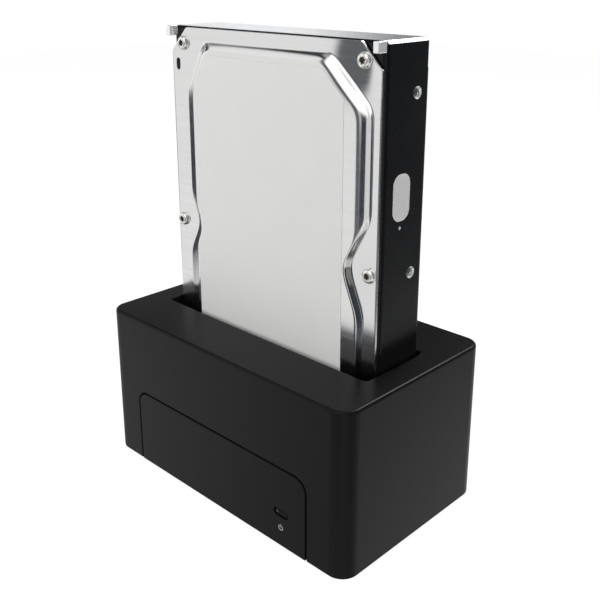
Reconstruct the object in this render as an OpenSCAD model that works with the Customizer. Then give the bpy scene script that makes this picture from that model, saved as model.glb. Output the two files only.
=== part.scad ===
// Hard drive docking station with a 3.5 inch drive standing in its slot.
// Millimetres. +X is to the right seen from the front, +Y to the rear, +Z up. The origin lies on the
// table under the middle of the housing. The drive's own pieces are drawn in the drive's frame: y = 0
// on its label side, z = 0 at its connector end.

/* [Housing] */
// Land of the roof to the left and right of the slot
side_land = 10.5; // [9.5:0.5:30]
// Land of the roof in front of the slot
front_land = 21.9; // [20:0.1:40]
// Land of the roof behind the slot
rear_land = 22.5; // [21.5:0.1:40]
// How deep the drive sinks below the roof
drive_sink = 38.5; // [30:0.5:60]
// Radius of the housing's upright corners
corner_r = 6.5; // [4:0.5:8]
// Radius along the edge of the roof
edge_r = 1; // [0.4:0.1:2]
// Thickness of the side walls
wall = 2.4; // [1.8:0.1:3]
// Thickness of the roof
roof_t = 2.6; // [2:0.1:4]
// Thickness of the base plate
base_t = 2.2; // [1.8:0.1:4]
// Gap between the base plate and the walls
base_fit = 0.2; // [0.1:0.05:0.4]
// How far the feet hold the housing off the table
foot_proud = 1; // [0.5:0.1:3]
// Depth of the pocket that a foot is glued in
foot_pocket = 0.8; // [0.4:0.1:1.2]
// Radius of a foot
foot_r = 5; // [3:0.5:7]

/* [Drive slot] */
// Gap beside the drive, left and right
slot_side_gap = 1.2; // [0.6:0.1:3]
// Gap in front of the drive
slot_front_gap = 3.4; // [1:0.1:6]
// Gap behind the drive
slot_back_gap = 1.1; // [0.6:0.1:3]
// Radius of the slot's corners
slot_r = 1.5; // [0.5:0.1:3]
// Wall of the well under the slot
well_wall = 1.8; // [1.2:0.1:2.4]
// How far the well stands back from the slot's edge
well_setback = 0.15; // [0.05:0.05:0.4]
// Thickness of the well's floor
floor_t = 2; // [1.5:0.1:3]
// Height of the pads that the drive stands on
pad_h = 2.5; // [1.5:0.1:4]
// Air between the board and the well's floor
under_floor = 1.9; // [1.8:0.1:4]
// Distance from the roof down to the well's ears
ear_drop = 6; // [4:0.5:10]

/* [Front panel and button] */
// Distance from the housing's side to the front panel's edge
panel_side = 17.2; // [14:0.2:24]
// Height of the front panel's top edge above the table
panel_top = 31; // [26:0.5:44]
// Radius of the panel's upper corners
panel_r = 4.8; // [2:0.2:8]
// Width of the groove around the panel
groove = 0.5; // [0.3:0.05:1]
// Overlap of the panel's back plate behind the wall
panel_lap = 3; // [2:0.2:5]
// Thickness of the panel's back plate
lap_t = 1.6; // [1.2:0.1:2]
// Height of the button's middle above the table
button_z = 13.8; // [12:0.2:18]
// Distance from the button's middle to the panel's right edge
button_inset = 11.5; // [8:0.5:40]
// Width of the button
button_w = 6.4; // [5:0.1:9]
// Height of the button
button_h = 2.6; // [2:0.1:3]
// How far the button's face lies behind the panel's face
button_recess = 0.35; // [0.1:0.05:0.8]
// Gap around the button
button_fit = 0.2; // [0.15:0.05:0.3]
// Travel of the button
button_travel = 0.5; // [0.2:0.05:0.6]

/* [Circuit board and ports] */
// Thickness of the main board
board_t = 1.6; // [1:0.1:2]
// Distance from the board's underside to the switch's axis
switch_drop = 1.7; // [1.6:0.05:2]
// Place of the USB port along the rear wall
usb_x = 17; // [12:0.5:30]
// Width of the USB port's shell
usb_w = 12.2; // [11:0.1:14]
// Height of the lower part of the USB port
usb_low_h = 10; // [9:0.1:12]
// Place of the power inlet along the rear wall
inlet_x = -13; // [-30:0.5:-6]
// Radius of the power inlet's bore
inlet_r = 3.1; // [2.5:0.1:3.4]
// Radius of the power inlet's pin
inlet_pin_r = 1; // [0.6:0.05:1.3]
// Gap around a port in the rear wall
port_fit = 0.3; // [0.2:0.05:0.6]
// Radius of the shank of the screws in the dock
screw_r = 1; // [0.8:0.05:1.3]
// Radius of the heads of those screws
screw_head_r = 2; // [1.7:0.1:2.4]
// Height of the heads of those screws
screw_head_h = 1.4; // [1:0.1:1.6]

/* [Hard drive] */
// Width of the drive
drive_w = 101.6; // [100:0.1:106]
// Thickness of the drive
drive_t = 26.1; // [26:0.1:30]
// Length of the drive, connector end to far end
drive_h = 147; // [146.5:0.1:152]
// Thickness of the cover sheet
sheet_t = 0.8; // [0.5:0.05:1]
// Height of the cover's pressed plateau
plateau_h = 2.28; // [1.5:0.02:3]
// Thickness of the gasket under the cover
gasket_t = 0.6; // [0.3:0.05:1]
// Thickness of the label
label_t = 0.12; // [0.05:0.01:0.2]
// Width of the cover's flange on the plateau's left, above its notch
left_flange_w = 8.2; // [7.6:0.1:9]
// Width of the cover's flange on the plateau's left, below its notch
low_left_flange_w = 6.5; // [6:0.1:7.2]
// Width of the cover's flange on the plateau's right, above its notch
right_flange_w = 2.6; // [2.4:0.1:4]
// Width of the cover's flange on the plateau's right, below its notch
low_right_flange_w = 5.3; // [4.6:0.1:6]
// Width of the pressed slope beside the plateau
slope_w = 6.1; // [5:0.1:7]
// Width of the pressed slope above and below the plateau
end_slope_w = 4.1; // [3:0.1:5]
// Wall of the casting beside the discs
casting_wall = 2.6; // [2.2:0.1:6]
// Thickness of a disc
disc_t = 1.27; // [0.8:0.01:1.5]
// Air between two discs
disc_gap = 1.9; // [1.7:0.05:2.1]
// Radius of the threaded mounting holes
mount_r = 1.5; // [1.2:0.05:1.75]

/* [Hidden] */
$fn = 48;
// Extra length of a cut past the face it leaves
cut = 1;

// Heights, from the table up
shell_z = foot_proud;
base_top = shell_z + base_t;
board_z = button_z + switch_drop;
board_top = board_z + board_t;
floor_z = board_top + under_floor;
seat_z = floor_z + floor_t + pad_h;
dock_h = seat_z + drive_sink;
roof_z = dock_h - roof_t;
ear_z = roof_z - ear_drop;

// Plan of the housing and the slot
slot_w = drive_w + 2*slot_side_gap;
slot_d = slot_front_gap + drive_t + slot_back_gap;
dock_w = slot_w + 2*side_land;
dock_d = front_land + slot_d + rear_land;
slot_y0 = front_land - dock_d/2;
slot_y1 = slot_y0 + slot_d;
slot_y = (slot_y0 + slot_y1)/2;
drive_y = slot_y0 + slot_front_gap;
front_y = -dock_d/2;
rear_y = dock_d/2;

// Bosses for the base screws stand in the corners
boss_r = 3.2;
boss_gap = 1;
boss_x = dock_w/2 - wall - boss_gap - boss_r;
boss_y = dock_d/2 - wall - boss_gap - boss_r;
boss_depth = 9;
// Room between a screw's tip and the bottom of its hole
tip_room = 1;
shank_fit = 0.06;
pass_fit = 0.3;
pilot_r = screw_r + shank_fit;
pass_r = screw_r + pass_fit;
sink_r = screw_head_r + pass_fit;

// Feet stand inside the corner bosses
foot_x = boss_x - boss_r - foot_r;
foot_y = boss_y - boss_r - foot_r;
foot_fit = 0.15;

// The well hangs from the roof by four ears
well_w = slot_w + 2*well_setback;
well_d = slot_d + 2*well_setback;
ear_t = 2.4;
ear_w = 8;
ear_out = 7;
ear_inset = 15.6;
ear_x = slot_w/2 - ear_inset;
ear_hole_y = well_d/2 + well_wall + ear_out/2;
ear_boss_r = 2.8;
pad_w = 12;
pad_d = 12;
pad_inset = 14;
pad_x = slot_w/2 - pad_inset;
pad_y = 4;

// Front panel and button
panel_w = dock_w - 2*panel_side;
lap_y0 = front_y + wall;
lap_y1 = lap_y0 + lap_t;
button_x = panel_w/2 - button_inset;
collar_lap = 1;
collar_t = 0.8;
stem_len = 1.1;
plunger_out = 1;
plunger_in = 1;
plunger_w = 2.2;
plunger_h = 1.2;
plunger_fit = 0.15;
button_y0 = front_y + button_recess;
collar_y1 = lap_y1 + collar_t;
stem_y1 = collar_y1 + stem_len;
switch_y = stem_y1 + plunger_out;
switch_w = 6;
switch_d = 3.6;
switch_below = 1.75;
switch_h = switch_drop + switch_below;
switch_play = 0.3;
lens_r = 0.45;
lens_x = button_x - (button_w - button_h)/2;
lens_len = 2;

// Main board
board_gap = 0.7;
board_front = collar_y1 + button_travel + board_gap;
board_rear = rear_y - wall - board_gap;
board_w = 2*(boss_x - boss_r - board_gap);
post_r = 2.8;
post_inset = 4;
post_x = board_w/2 - post_inset;
post_y0 = board_front + post_inset;
post_y1 = board_rear - post_inset;
post_hole = 8;
board_screw_len = 6;

// Parts of the circuit in front of the well: place along the board and size
parts_y = (board_front + slot_y0 - well_setback - well_wall)/2;
bridge_x = -2;
bridge_size = [9, 9, 0.9];
regulator_x = -17;
regulator_size = [5, 6, 1.5];
inductor_x = -27;
inductor_size = [7, 7, 4];
crystal_x = 10;
crystal_size = [5, 3.2, 1];
capacitor_x = [-36, 22];
capacitor_r = 3.1;
capacitor_h = 7.7;
led_size = [1.6, 1, 1];
led_gap = 0.3;

// Ports on the rear edge of the board
port_set_in = 0.3;
port_face = rear_y - port_set_in;
usb_wall = 0.5;
usb_depth = 17.5;
usb_top_w = 9.4;
usb_top_h = 4;
usb_back = 4;
tongue_len = 10;
tongue_w = 5.6;
tongue_h = 3.2;
blade_h = 1.6;
usb_strip_w = 0.7;
usb_strip_pitch = 1.05;
usb_strip_short = 1;
inlet_w = 9;
inlet_h = 10.6;
inlet_depth = 13.5;
inlet_axis_h = 6.2;
inlet_z = board_top + inlet_axis_h;
inlet_bore = 10;
inlet_pin_len = 9.4;

// Plug of the drive: a power blade and a signal blade in one shroud
power_blade = 20.57;
signal_blade = 10.41;
blade_gap = 2.41;
blade_t = 1.23;
blade_room = 0.5;
contact_pitch = 1.27;
contact_w = 0.6;
spring_t = 0.2;
strip_t = 0.1;
power_count = 15;
signal_count = 7;
plug_len = power_blade + blade_gap + signal_blade;
plug_side = 24.8;
plug_x = plug_side - drive_w/2;
recept_wall = 1.6;
recept_w = plug_len + 2*recept_wall;
recept_d = 5.2;
recept_in = 5;
plug_fit = 0.4;
shroud_t = 0.9;
shroud_w = recept_w + 2*(plug_fit + shroud_t);
shroud_d = recept_d + 2*(plug_fit + shroud_t);
shroud_in = 6;
shroud_h = 9;
plug_margin = 0.2;
plug_y = drive_t - plug_margin - shroud_d/2;
blade_tip = 0.6;
power_x = plug_x - plug_len/2 + power_blade/2;
signal_x = plug_x + plug_len/2 - signal_blade/2;

// Depths in the drive, from its label side to its board side
flange_y = label_t + plateau_h;
gasket_y = flange_y + sheet_t;
rim_y = gasket_y + gasket_t;
recess_d = 4.5;
recess_y = drive_t - recess_d;
cavity_floor = 2;
cavity_y = recess_y - cavity_floor;
pcb_t = 1.2;
pcb_drop = 2;
pcb_y = drive_t - pcb_drop;
pcb_side = 6.4;
pcb_w = drive_w - 2*pcb_side;
pcb_fit = 0.4;
pcb_screw_in = 5;
pcb_screw_x = pcb_w/2 - pcb_screw_in;
pcb_screw_r = 0.8;
pcb_screw_len = 3;
pcb_head_r = 1.8;
pcb_head_h = 0.7;
pcb_post_r = 3;

// Cover and what is on it
cover_inset = 0.3;
cover_x = drive_w/2 - cover_inset;
cover_top_inset = 0.4;
cover_top = drive_h - cover_top_inset;
cover_bottom = 1;
cover_corner = 8.4;
foot_left = left_flange_w - cover_x;
foot_low_left = low_left_flange_w - cover_x;
foot_right = cover_x - right_flange_w;
foot_low_right = cover_x - low_right_flange_w;
foot_line_drop = 4.3;
foot_line_top = drive_h - foot_line_drop;
foot_line_bottom = 6;
right_cut_x = 17.5;
right_cut_z = 16.3;
left_cut_x = 9.6;
left_cut_z = 19.2;
cut_slope_w = 5.1;
low_cut = 8;
notch_z = 73;
right_notch = 8.5;
right_notch_up = 18;
right_notch_down = 16;
left_notch = 3.8;
left_notch_up = 11;
left_notch_down = 12.5;
notch_flat = 2;
left_notch_slope = 4.4;
right_notch_slope = 1.6;
low_right_slope = 2.2;
label_margin = 0.4;
label_top_margin = 1.2;
label_gap = 0.5;
label_right = foot_right - right_notch - right_notch_slope - label_gap;
label_bottom = foot_line_bottom + low_cut + slope_w;
cover_screw_r = 1;
cover_head_r = 2.6;
cover_head_h = 1.5;
cover_shank = 5;
cover_pass = 0.2;
corner_screw_in = [6.9, 6.1];
middle_screw_in = [3.2, 0.5];
end_screw_in = [5.5, 4.2];
corner_screw = [cover_x - corner_screw_in[0], drive_h - corner_screw_in[1]];
middle_screw = [cover_x - middle_screw_in[0], notch_z - middle_screw_in[1]];
end_screw = [cover_x - end_screw_in[0], cover_bottom + end_screw_in[1]];
vent_in = [3.2, 14];
vent_hole = [vent_in[0] - cover_x, drive_h - vent_in[1]];
vent_w = 2;
vent_len = 4.4;
lug_w = 2.4;
lug_h = 3.6;
rear_step = 1.3;
rear_step_h = 9.5;
rear_step_z = drive_h - rear_step_h;
gasket_inset = 0.3;

// Mounting holes of a 3.5 inch drive
side_hole_z = [28.5, 70.11, 130.1];
side_hole_in = 6.35;
side_hole_y = drive_t - side_hole_in;
side_hole_depth = 5.5;
back_hole_in = 3.175;
back_hole_x = drive_w/2 - back_hole_in;
back_hole_z = [41.28, 85.73];
back_hole_depth = 4.5;
seal_w = 10;
seal_h = 16.5;
seal_t = 0.1;
seal_y = 12.6;
seal_z = 97;

// Mechanism in the drive
disc_room = 0.7;
top_wall = 2.8;
// Length of the connector end, up to the actuator's pivot
tail = 40;
// From the edge of the discs to the pivot's height
pivot_off = 8.5;
// The discs are the largest that the drive's width and length leave room for
cavity_r = min(drive_w/2 - casting_wall, (drive_h - tail - pivot_off - top_wall + disc_room)/2);
disc_r = cavity_r - disc_room;
spindle_z = drive_h - top_wall - cavity_r;
cavity_low = 11;
left_wall = 8.8;
right_wall = 6.8;
cavity_left = drive_w/2 - left_wall;
cavity_right = drive_w/2 - right_wall;
disc_count = 3;
hub_r = 12.4;
bore_fit = 0.05;
hub_flange_r = 14.5;
hub_flange_t = 1.4;
disc_pitch = disc_t + disc_gap;
discs_off = 4.2;
discs_y1 = cavity_y - discs_off;
discs_y0 = discs_y1 - disc_count*disc_t - (disc_count - 1)*disc_gap;
clamp_t = 1.1;
clamp_r = 15.5;
shaft_r = 2;
motor_r = 13;
motor_flange_r = 15;
motor_flange_t = 1;
motor_proud = 1.6;
motor_set_in = 0.6;
motor_y1 = drive_t - motor_set_in;
shaft_in = 3;
pcb_motor_gap = 1;
pcb_top = spindle_z - motor_flange_r - pcb_motor_gap;
pcb_low_in = 7;
pcb_high_in = 6;
pcb_screw_z = [shroud_h + pcb_low_in, pcb_top - pcb_high_in];
pivot_r = 2.5;
yoke_r0 = 8.5;
yoke_r1 = 27;
yoke_room = 3;
pivot = [cavity_right - yoke_room - yoke_r1, spindle_z - disc_r - pivot_off];
arm_len = 48;
arm_angle = 158.9;
arm_t = 0.7;
arm_root = 5;
arm_tip = 1.3;
barrel_r = 6.2;
barrel_over = 2.2;
barrel_under = 2;
barrel_y0 = discs_y0 - barrel_over;
barrel_y1 = discs_y1 + barrel_under;
coil_r0 = 10;
coil_r1 = 23;
coil_half = 6.5;
coil_t = 2.8;
coil_y = (barrel_y0 + barrel_y1)/2 - coil_t/2;
coil_wire = 3;
yoke_t = 1.8;
yoke_low_a = arm_angle + 180 - 51;
yoke_high_a = arm_angle + 180 + 27;
yoke_post_r = 1.2;
yoke_post_out = 2.6;
yoke_post_c = coil_r1 + yoke_post_out;
// Turn of the outer posts in from the ends of the plates
yoke_post_a = 4;
yoke_gap = 2;

// Colours
shell_black = [0.05, 0.05, 0.055];
panel_black = [0.06, 0.06, 0.062];
plastic_black = [0.03, 0.03, 0.03];
board_green = [0.05, 0.22, 0.12];
steel = [0.72, 0.72, 0.72];
gold = [0.83, 0.66, 0.25];
casting_black = [0.035, 0.035, 0.04];
disc_silver = [0.85, 0.85, 0.86];

// Outlines and helpers

// Rectangle with round corners, centred
module round_rect(w, d, r) {
    square([w - 2*r, d], center = true);
    square([w, d - 2*r], center = true);
    for (x = [-1, 1], y = [-1, 1])
        translate([x*(w/2 - r), y*(d/2 - r)]) circle(r);
}

// Slot with round ends along x, centred
module obround(w, h) {
    square([w - h, h], center = true);
    for (x = [-1, 1])
        translate([x*(w - h)/2, 0]) circle(h/2);
}

// Upright block with round corners and a round upper edge
module soft_block(w, d, h, r, e) {
    linear_extrude(h - e) round_rect(w, d, r);
    linear_extrude(h) round_rect(w - 2*e, d - 2*e, r - e);
    for (x = [-1, 1], y = [-1, 1])
        translate([x*(w/2 - r), y*(d/2 - r), h - e])
            rotate_extrude() intersection() {
                translate([r - e, 0]) circle(e);
                square([r, e]);
            }
    for (y = [-1, 1])
        translate([0, y*(d/2 - e), h - e]) rotate([0, 90, 0])
            cylinder(r = e, h = w - 2*r, center = true);
    for (x = [-1, 1])
        translate([x*(w/2 - e), 0, h - e]) rotate([90, 0, 0])
            cylinder(r = e, h = d - 2*r, center = true);
}

// Outline in x and z, extruded from depth y0 to depth y1
module along_y(y0, y1) {
    translate([0, y1, 0]) rotate([90, 0, 0]) linear_extrude(y1 - y0) children();
}

// Round bar or bore along y, at x and z
module rod_y(x, z, r, y0, y1) {
    along_y(y0, y1) translate([x, z]) circle(r);
}

// Copies at the four corners of a rectangle
module four_corners(x, y) {
    for (sx = [-1, 1], sy = [-1, 1])
        translate([sx*x, sy*y, 0]) children();
}

// Screw pointing down: its head stands on z = 0
module down_screw(r, len, head_r, head_h) {
    difference() {
        cylinder(r = head_r, h = head_h);
        translate([0, 0, head_h/2]) cylinder(r = head_r/2, h = head_h, $fn = 6);
    }
    translate([0, 0, -len]) cylinder(r = r, h = len);
}

// Solid between two outlines of as many points, at depth y0 and at depth y1 < y0. Both are seen whole
// from the point c, so a fan of triangles closes each end.
module loft_y(back, front, y0, y1, c) {
    n = len(back);
    polyhedron(
        points = concat([for (p = back) [p[0], y0, p[1]]], [for (p = front) [p[0], y1, p[1]]],
            [[c[0], y0, c[1]], [c[0], y1, c[1]]]),
        faces = concat(
            [for (i = [0:n - 1]) [(i + 1)%n, i, 2*n]],
            [for (i = [0:n - 1]) [n + i, n + (i + 1)%n, 2*n + 1]],
            [for (i = [0:n - 1]) [i, (i + 1)%n, n + i]],
            [for (i = [0:n - 1]) [(i + 1)%n, n + (i + 1)%n, n + i]]));
}

// Front panel's outline: round above, square below, grown by g
module panel_outline(g, bottom) {
    w = panel_w/2 + g;
    r = panel_r + g;
    top = panel_top + g;
    translate([-w, bottom]) square([2*w, top - r - bottom]);
    translate([r - w, bottom]) square([2*(w - r), top - bottom]);
    for (x = [-1, 1])
        translate([x*(w - r), top - r]) circle(r);
}

// Contacts of the plug: their places along x
function contact_places() = concat(
    [for (i = [0:power_count - 1]) power_x + (i - (power_count - 1)/2)*contact_pitch],
    [for (i = [0:signal_count - 1]) signal_x + (i - (signal_count - 1)/2)*contact_pitch]);

// Foot of the slope around the cover's plateau, clockwise from the lower left corner
function plateau_foot() = [
    [foot_low_left + low_cut, foot_line_bottom], [foot_low_left, foot_line_bottom + low_cut],
    [foot_low_left, notch_z - left_notch_down], [foot_left + left_notch, notch_z - notch_flat],
    [foot_left + left_notch, notch_z + notch_flat], [foot_left, notch_z + left_notch_up],
    [foot_left, foot_line_top - left_cut_z], [foot_left + left_cut_x, foot_line_top],
    [foot_right - right_cut_x, foot_line_top], [foot_right, foot_line_top - right_cut_z],
    [foot_right, notch_z + right_notch_up], [foot_right - right_notch, notch_z + notch_flat],
    [foot_right - right_notch, notch_z - notch_flat], [foot_low_right, notch_z - right_notch_down],
    [foot_low_right, foot_line_bottom + low_cut], [foot_low_right - low_cut, foot_line_bottom]];

// Widths of that slope, one for each edge of its foot, with s more at the sides and t more at the ends.
// The plateau's left edge is straight, so below the left notch its slope is wider.
function plateau_slopes(s, t) = let (side = slope_w + s, end = end_slope_w + t, cut = cut_slope_w + s,
    left = left_notch_slope + s, right = right_notch_slope + s,
    low_left = side + foot_left - foot_low_left, low_right = low_right_slope + s) [cut, low_left, left,
    left, left, side, cut, end, cut, side, right, right, right, low_right, cut, end];

// Clockwise outline with each edge moved in by its own width
function drawn_in(p, w) = [for (i = [0:len(p) - 1]) let (
    j = (i + len(p) - 1)%len(p), u = p[i] - p[j], v = p[(i + 1)%len(p)] - p[i],
    a = [u[1], -u[0]]/norm(u), b = [v[1], -v[0]]/norm(v), d = a[0]*b[1] - a[1]*b[0])
    p[i] + [w[j]*b[1] - w[i]*a[1], w[i]*a[0] - w[j]*b[0]]/d];

// Cover's outline: a sheet with its two upper corners cut off, drawn in by s
module cover_outline(s) {
    x = cover_x - s;
    polygon([[-x, cover_bottom + s], [x, cover_bottom + s], [x, cover_top - cover_corner],
        [x - cover_corner, cover_top - s], [cover_corner - x, cover_top - s],
        [-x, cover_top - cover_corner]]);
}

// Places of the cover's screws
function cover_screw_places() = [for (p = [corner_screw, middle_screw, end_screw], s = [-1, 1])
    [s*p[0], p[1]]];

// Space for the discs and the actuator in the casting
module cavity_outline() {
    translate([0, spindle_z]) circle(cavity_r);
    translate([-cavity_left, cavity_low])
        square([cavity_left + cavity_right, spindle_z - disc_r/2 - cavity_low]);
}

// Puts the drive's pieces in the slot
module in_slot() {
    translate([0, drive_y, seat_z]) children();
}

// Turns the actuator's pieces: x runs from the pivot along the arm
module on_pivot(y0, y1, angle) {
    along_y(y0, y1) translate(pivot) rotate(angle) children();
}

// Housing of the dock

// Moulded upper housing: walls, roof with the slot, and the bosses inside
module top_shell() {
    color(shell_black) difference() {
        union() {
            difference() {
                translate([0, 0, shell_z]) soft_block(dock_w, dock_d, dock_h - shell_z, corner_r, edge_r);
                translate([0, 0, shell_z - cut]) linear_extrude(roof_z - shell_z + cut)
                    round_rect(dock_w - 2*wall, dock_d - 2*wall, corner_r - wall);
            }
            four_corners(boss_x, boss_y)
                translate([0, 0, base_top]) cylinder(r = boss_r, h = roof_z + cut - base_top);
            translate([0, slot_y, 0]) four_corners(ear_x, ear_hole_y)
                translate([0, 0, ear_z]) cylinder(r = ear_boss_r, h = roof_z + cut - ear_z);
        }
        four_corners(boss_x, boss_y)
            translate([0, 0, base_top - cut]) cylinder(r = pilot_r, h = boss_depth + cut);
        translate([0, slot_y, 0]) four_corners(ear_x, ear_hole_y)
            translate([0, 0, ear_z - cut]) cylinder(r = pilot_r, h = ear_drop + cut);
        translate([0, slot_y, roof_z - cut]) linear_extrude(roof_t + 2*cut)
            round_rect(slot_w, slot_d, slot_r);
        along_y(front_y - cut, lap_y0 + cut) panel_outline(groove, shell_z - cut);
        along_y(rear_y - wall - cut, rear_y + cut) {
            translate([usb_x, 0]) usb_outline(port_fit);
            translate([inlet_x - inlet_w/2 - port_fit, board_top - port_fit])
                square([inlet_w + 2*port_fit, inlet_h + 2*port_fit]);
        }
    }
}

// Moulded well that guides the drive: four walls, a floor with pads, and ears under the roof
module drive_well() {
    recept_y = drive_y + plug_y;
    color(shell_black) translate([0, slot_y, 0]) difference() {
        union() {
            translate([0, 0, floor_z]) linear_extrude(roof_z - floor_z)
                round_rect(well_w + 2*well_wall, well_d + 2*well_wall, slot_r + well_wall);
            for (s = [-1, 1], e = [-1, 1])
                translate([s*ear_x - ear_w/2, e*ear_hole_y - ear_out/2 - cut/2, ear_z - ear_t])
                    cube([ear_w, ear_out + cut, ear_t]);
        }
        translate([0, 0, floor_z + floor_t]) linear_extrude(roof_z - floor_z) difference() {
            round_rect(well_w, well_d, slot_r);
            for (s = [-1, 1])
                translate([s*pad_x - pad_w/2, drive_y + pad_y - slot_y]) square([pad_w, pad_d]);
        }
        translate([0, 0, seat_z]) linear_extrude(roof_z) round_rect(well_w, well_d, slot_r);
        translate([plug_x, recept_y - slot_y, floor_z]) cube([recept_w + 2*plug_fit,
            recept_d + 2*plug_fit, 2*floor_t + 2*cut], center = true);
        four_corners(ear_x, ear_hole_y)
            translate([0, 0, ear_z - ear_t - cut]) cylinder(r = pass_r, h = ear_t + 2*cut);
    }
}

// Flush front panel with a back plate that closes the groove from behind and stands on the base plate
module front_panel() {
    color(panel_black) difference() {
        union() {
            along_y(front_y, lap_y0) panel_outline(0, shell_z);
            along_y(lap_y0, lap_y1) panel_outline(groove + panel_lap, base_top);
        }
        along_y(front_y - cut, lap_y1 + cut) translate([button_x, button_z])
            obround(button_w + 2*button_fit, button_h + 2*button_fit);
    }
}

// Base plate with the posts of the main board and pockets for the feet
module base_plate() {
    color(shell_black) difference() {
        union() {
            translate([0, 0, shell_z]) linear_extrude(base_t) round_rect(dock_w - 2*wall - 2*base_fit,
                dock_d - 2*wall - 2*base_fit, corner_r - wall);
            board_posts() cylinder(r = post_r, h = board_z - shell_z);
        }
        board_posts() translate([0, 0, board_z - shell_z - post_hole])
            cylinder(r = pilot_r, h = post_hole + cut);
        four_corners(boss_x, boss_y) {
            translate([0, 0, shell_z - cut]) cylinder(r = pass_r, h = base_t + 2*cut);
            translate([0, 0, shell_z - cut]) cylinder(r = sink_r, h = screw_head_h + cut);
        }
        four_corners(foot_x, foot_y)
            translate([0, 0, shell_z - cut]) cylinder(r = foot_r + foot_fit, h = foot_pocket + cut);
    }
}

// Places of the posts under the main board, from the base plate up
module board_posts() {
    for (x = [-1, 1], y = [post_y0, post_y1])
        translate([x*post_x, y, shell_z]) children();
}

// Screws that hold the base plate to the corner bosses
module base_screws() {
    color(steel) four_corners(boss_x, boss_y)
        translate([0, 0, shell_z + screw_head_h]) mirror([0, 0, 1])
            down_screw(screw_r, base_t - screw_head_h + boss_depth - tip_room, screw_head_r, screw_head_h);
}

// Rubber feet glued in the base plate's pockets
module rubber_feet() {
    color([0.08, 0.08, 0.08]) four_corners(foot_x, foot_y)
        cylinder(r = foot_r, h = foot_proud + foot_pocket);
}

// Electronics of the dock

// Main board, screwed on the base plate's posts
module main_board() {
    color(board_green) translate([0, 0, board_z]) linear_extrude(board_t) difference() {
        translate([-board_w/2, board_front]) square([board_w, board_rear - board_front]);
        for (x = [-1, 1], y = [post_y0, post_y1])
            translate([x*post_x, y]) circle(pass_r);
    }
}

// Screws of the main board
module board_screws() {
    color(steel) board_posts() translate([0, 0, board_top - shell_z])
        down_screw(screw_r, board_screw_len, screw_head_r, screw_head_h);
}

// Screws that hold the well's ears to the roof
module well_screws() {
    color(steel) translate([0, slot_y, ear_z - ear_t]) four_corners(ear_x, ear_hole_y)
        mirror([0, 0, 1]) down_screw(screw_r, ear_t + ear_drop - tip_room, screw_head_r, screw_head_h);
}

// Upright receptacle that the drive's plug goes on, with a slot for each blade
module sata_receptacle() {
    h = seat_z + recept_in - board_top;
    color(plastic_black) translate([0, drive_y + plug_y, board_top]) difference() {
        translate([plug_x, 0, h/2]) cube([recept_w, recept_d, h], center = true);
        for (b = [[power_x, power_blade], [signal_x, signal_blade]])
            translate([b[0], 0, h]) cube([b[1] + 2*blade_room, blade_t + 2*blade_room,
                2*(recept_in + blade_room)], center = true);
    }
}

// Spring contacts along one wall of the receptacle's slots
module sata_contacts() {
    y = drive_y + plug_y - blade_t/2 - blade_room;
    color(gold) for (x = contact_places())
        translate([x - contact_w/2, y, seat_z]) cube([contact_w, spring_t, recept_in - blade_tip]);
}

// Outline of the USB port's shell, grown by g
module usb_outline(g) {
    translate([-usb_w/2 - g, board_top - g]) square([usb_w + 2*g, usb_low_h + 2*g]);
    translate([-usb_top_w/2 - g, board_top + usb_low_h/2])
        square([usb_top_w + 2*g, usb_low_h/2 + usb_top_h + g]);
}

// Folded steel shell of the USB port, open to the rear
module usb_shell() {
    color(steel) translate([usb_x, 0, 0]) difference() {
        along_y(port_face - usb_depth, port_face) usb_outline(0);
        along_y(port_face - usb_depth + usb_wall, port_face + cut) usb_outline(-usb_wall);
    }
}

// Insulator of the USB port: a block at the back with two tongues
module usb_tongue() {
    y0 = port_face - usb_depth + usb_wall;
    z0 = board_top + usb_wall;
    inner_h = usb_low_h - 2*usb_wall;
    color([0.05, 0.2, 0.65]) translate([usb_x, 0, 0]) {
        along_y(y0, y0 + usb_back) {
            translate([-usb_w/2 + usb_wall, z0]) square([usb_w - 2*usb_wall, inner_h]);
            translate([-usb_top_w/2 + usb_wall, z0]) square([usb_top_w - 2*usb_wall, inner_h + usb_top_h]);
        }
        along_y(y0 + usb_back - cut, y0 + usb_back + tongue_len) {
            translate([-tongue_w/2, z0 + (inner_h - tongue_h)/2]) square([tongue_w, tongue_h]);
            translate([-tongue_w/2, z0 + inner_h + (usb_top_h - blade_h)/2]) square([tongue_w, blade_h]);
        }
    }
}

// Contact strips under and over the USB tongues
module usb_contacts() {
    y0 = port_face - usb_depth + usb_wall + usb_back;
    z0 = board_top + usb_wall;
    inner_h = usb_low_h - 2*usb_wall;
    low = z0 + (inner_h - tongue_h)/2;
    high = z0 + inner_h + (usb_top_h - blade_h)/2;
    strip_len = tongue_len - usb_strip_short;
    color(gold) translate([usb_x, 0, 0]) {
        for (x = [-1, 1], z = [low - strip_t, low + tongue_h])
            translate([x*tongue_w/4 - usb_strip_w/2, y0, z]) cube([usb_strip_w, strip_len, strip_t]);
        for (i = [-2:2])
            translate([i*usb_strip_pitch - usb_strip_w/2, y0, high - strip_t])
                cube([usb_strip_w, strip_len, strip_t]);
    }
}

// Moulded body of the power inlet
module power_inlet() {
    color(plastic_black) translate([inlet_x, 0, 0]) difference() {
        translate([-inlet_w/2, port_face - inlet_depth, board_top]) cube([inlet_w, inlet_depth, inlet_h]);
        rod_y(0, inlet_z, inlet_r, port_face - inlet_bore, port_face + cut);
    }
}

// Centre pin of the power inlet
module inlet_pin() {
    color(steel) rod_y(inlet_x, inlet_z, inlet_pin_r, port_face - inlet_bore,
        port_face - inlet_bore + inlet_pin_len);
}

// Flat part on the front half of the board: place along x and size
module board_part(x, size) {
    translate([x - size[0]/2, parts_y - size[1]/2, board_top]) cube(size);
}

// Controller that turns the drive's link into USB
module bridge_chip() {
    color(plastic_black) board_part(bridge_x, bridge_size);
}

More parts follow.
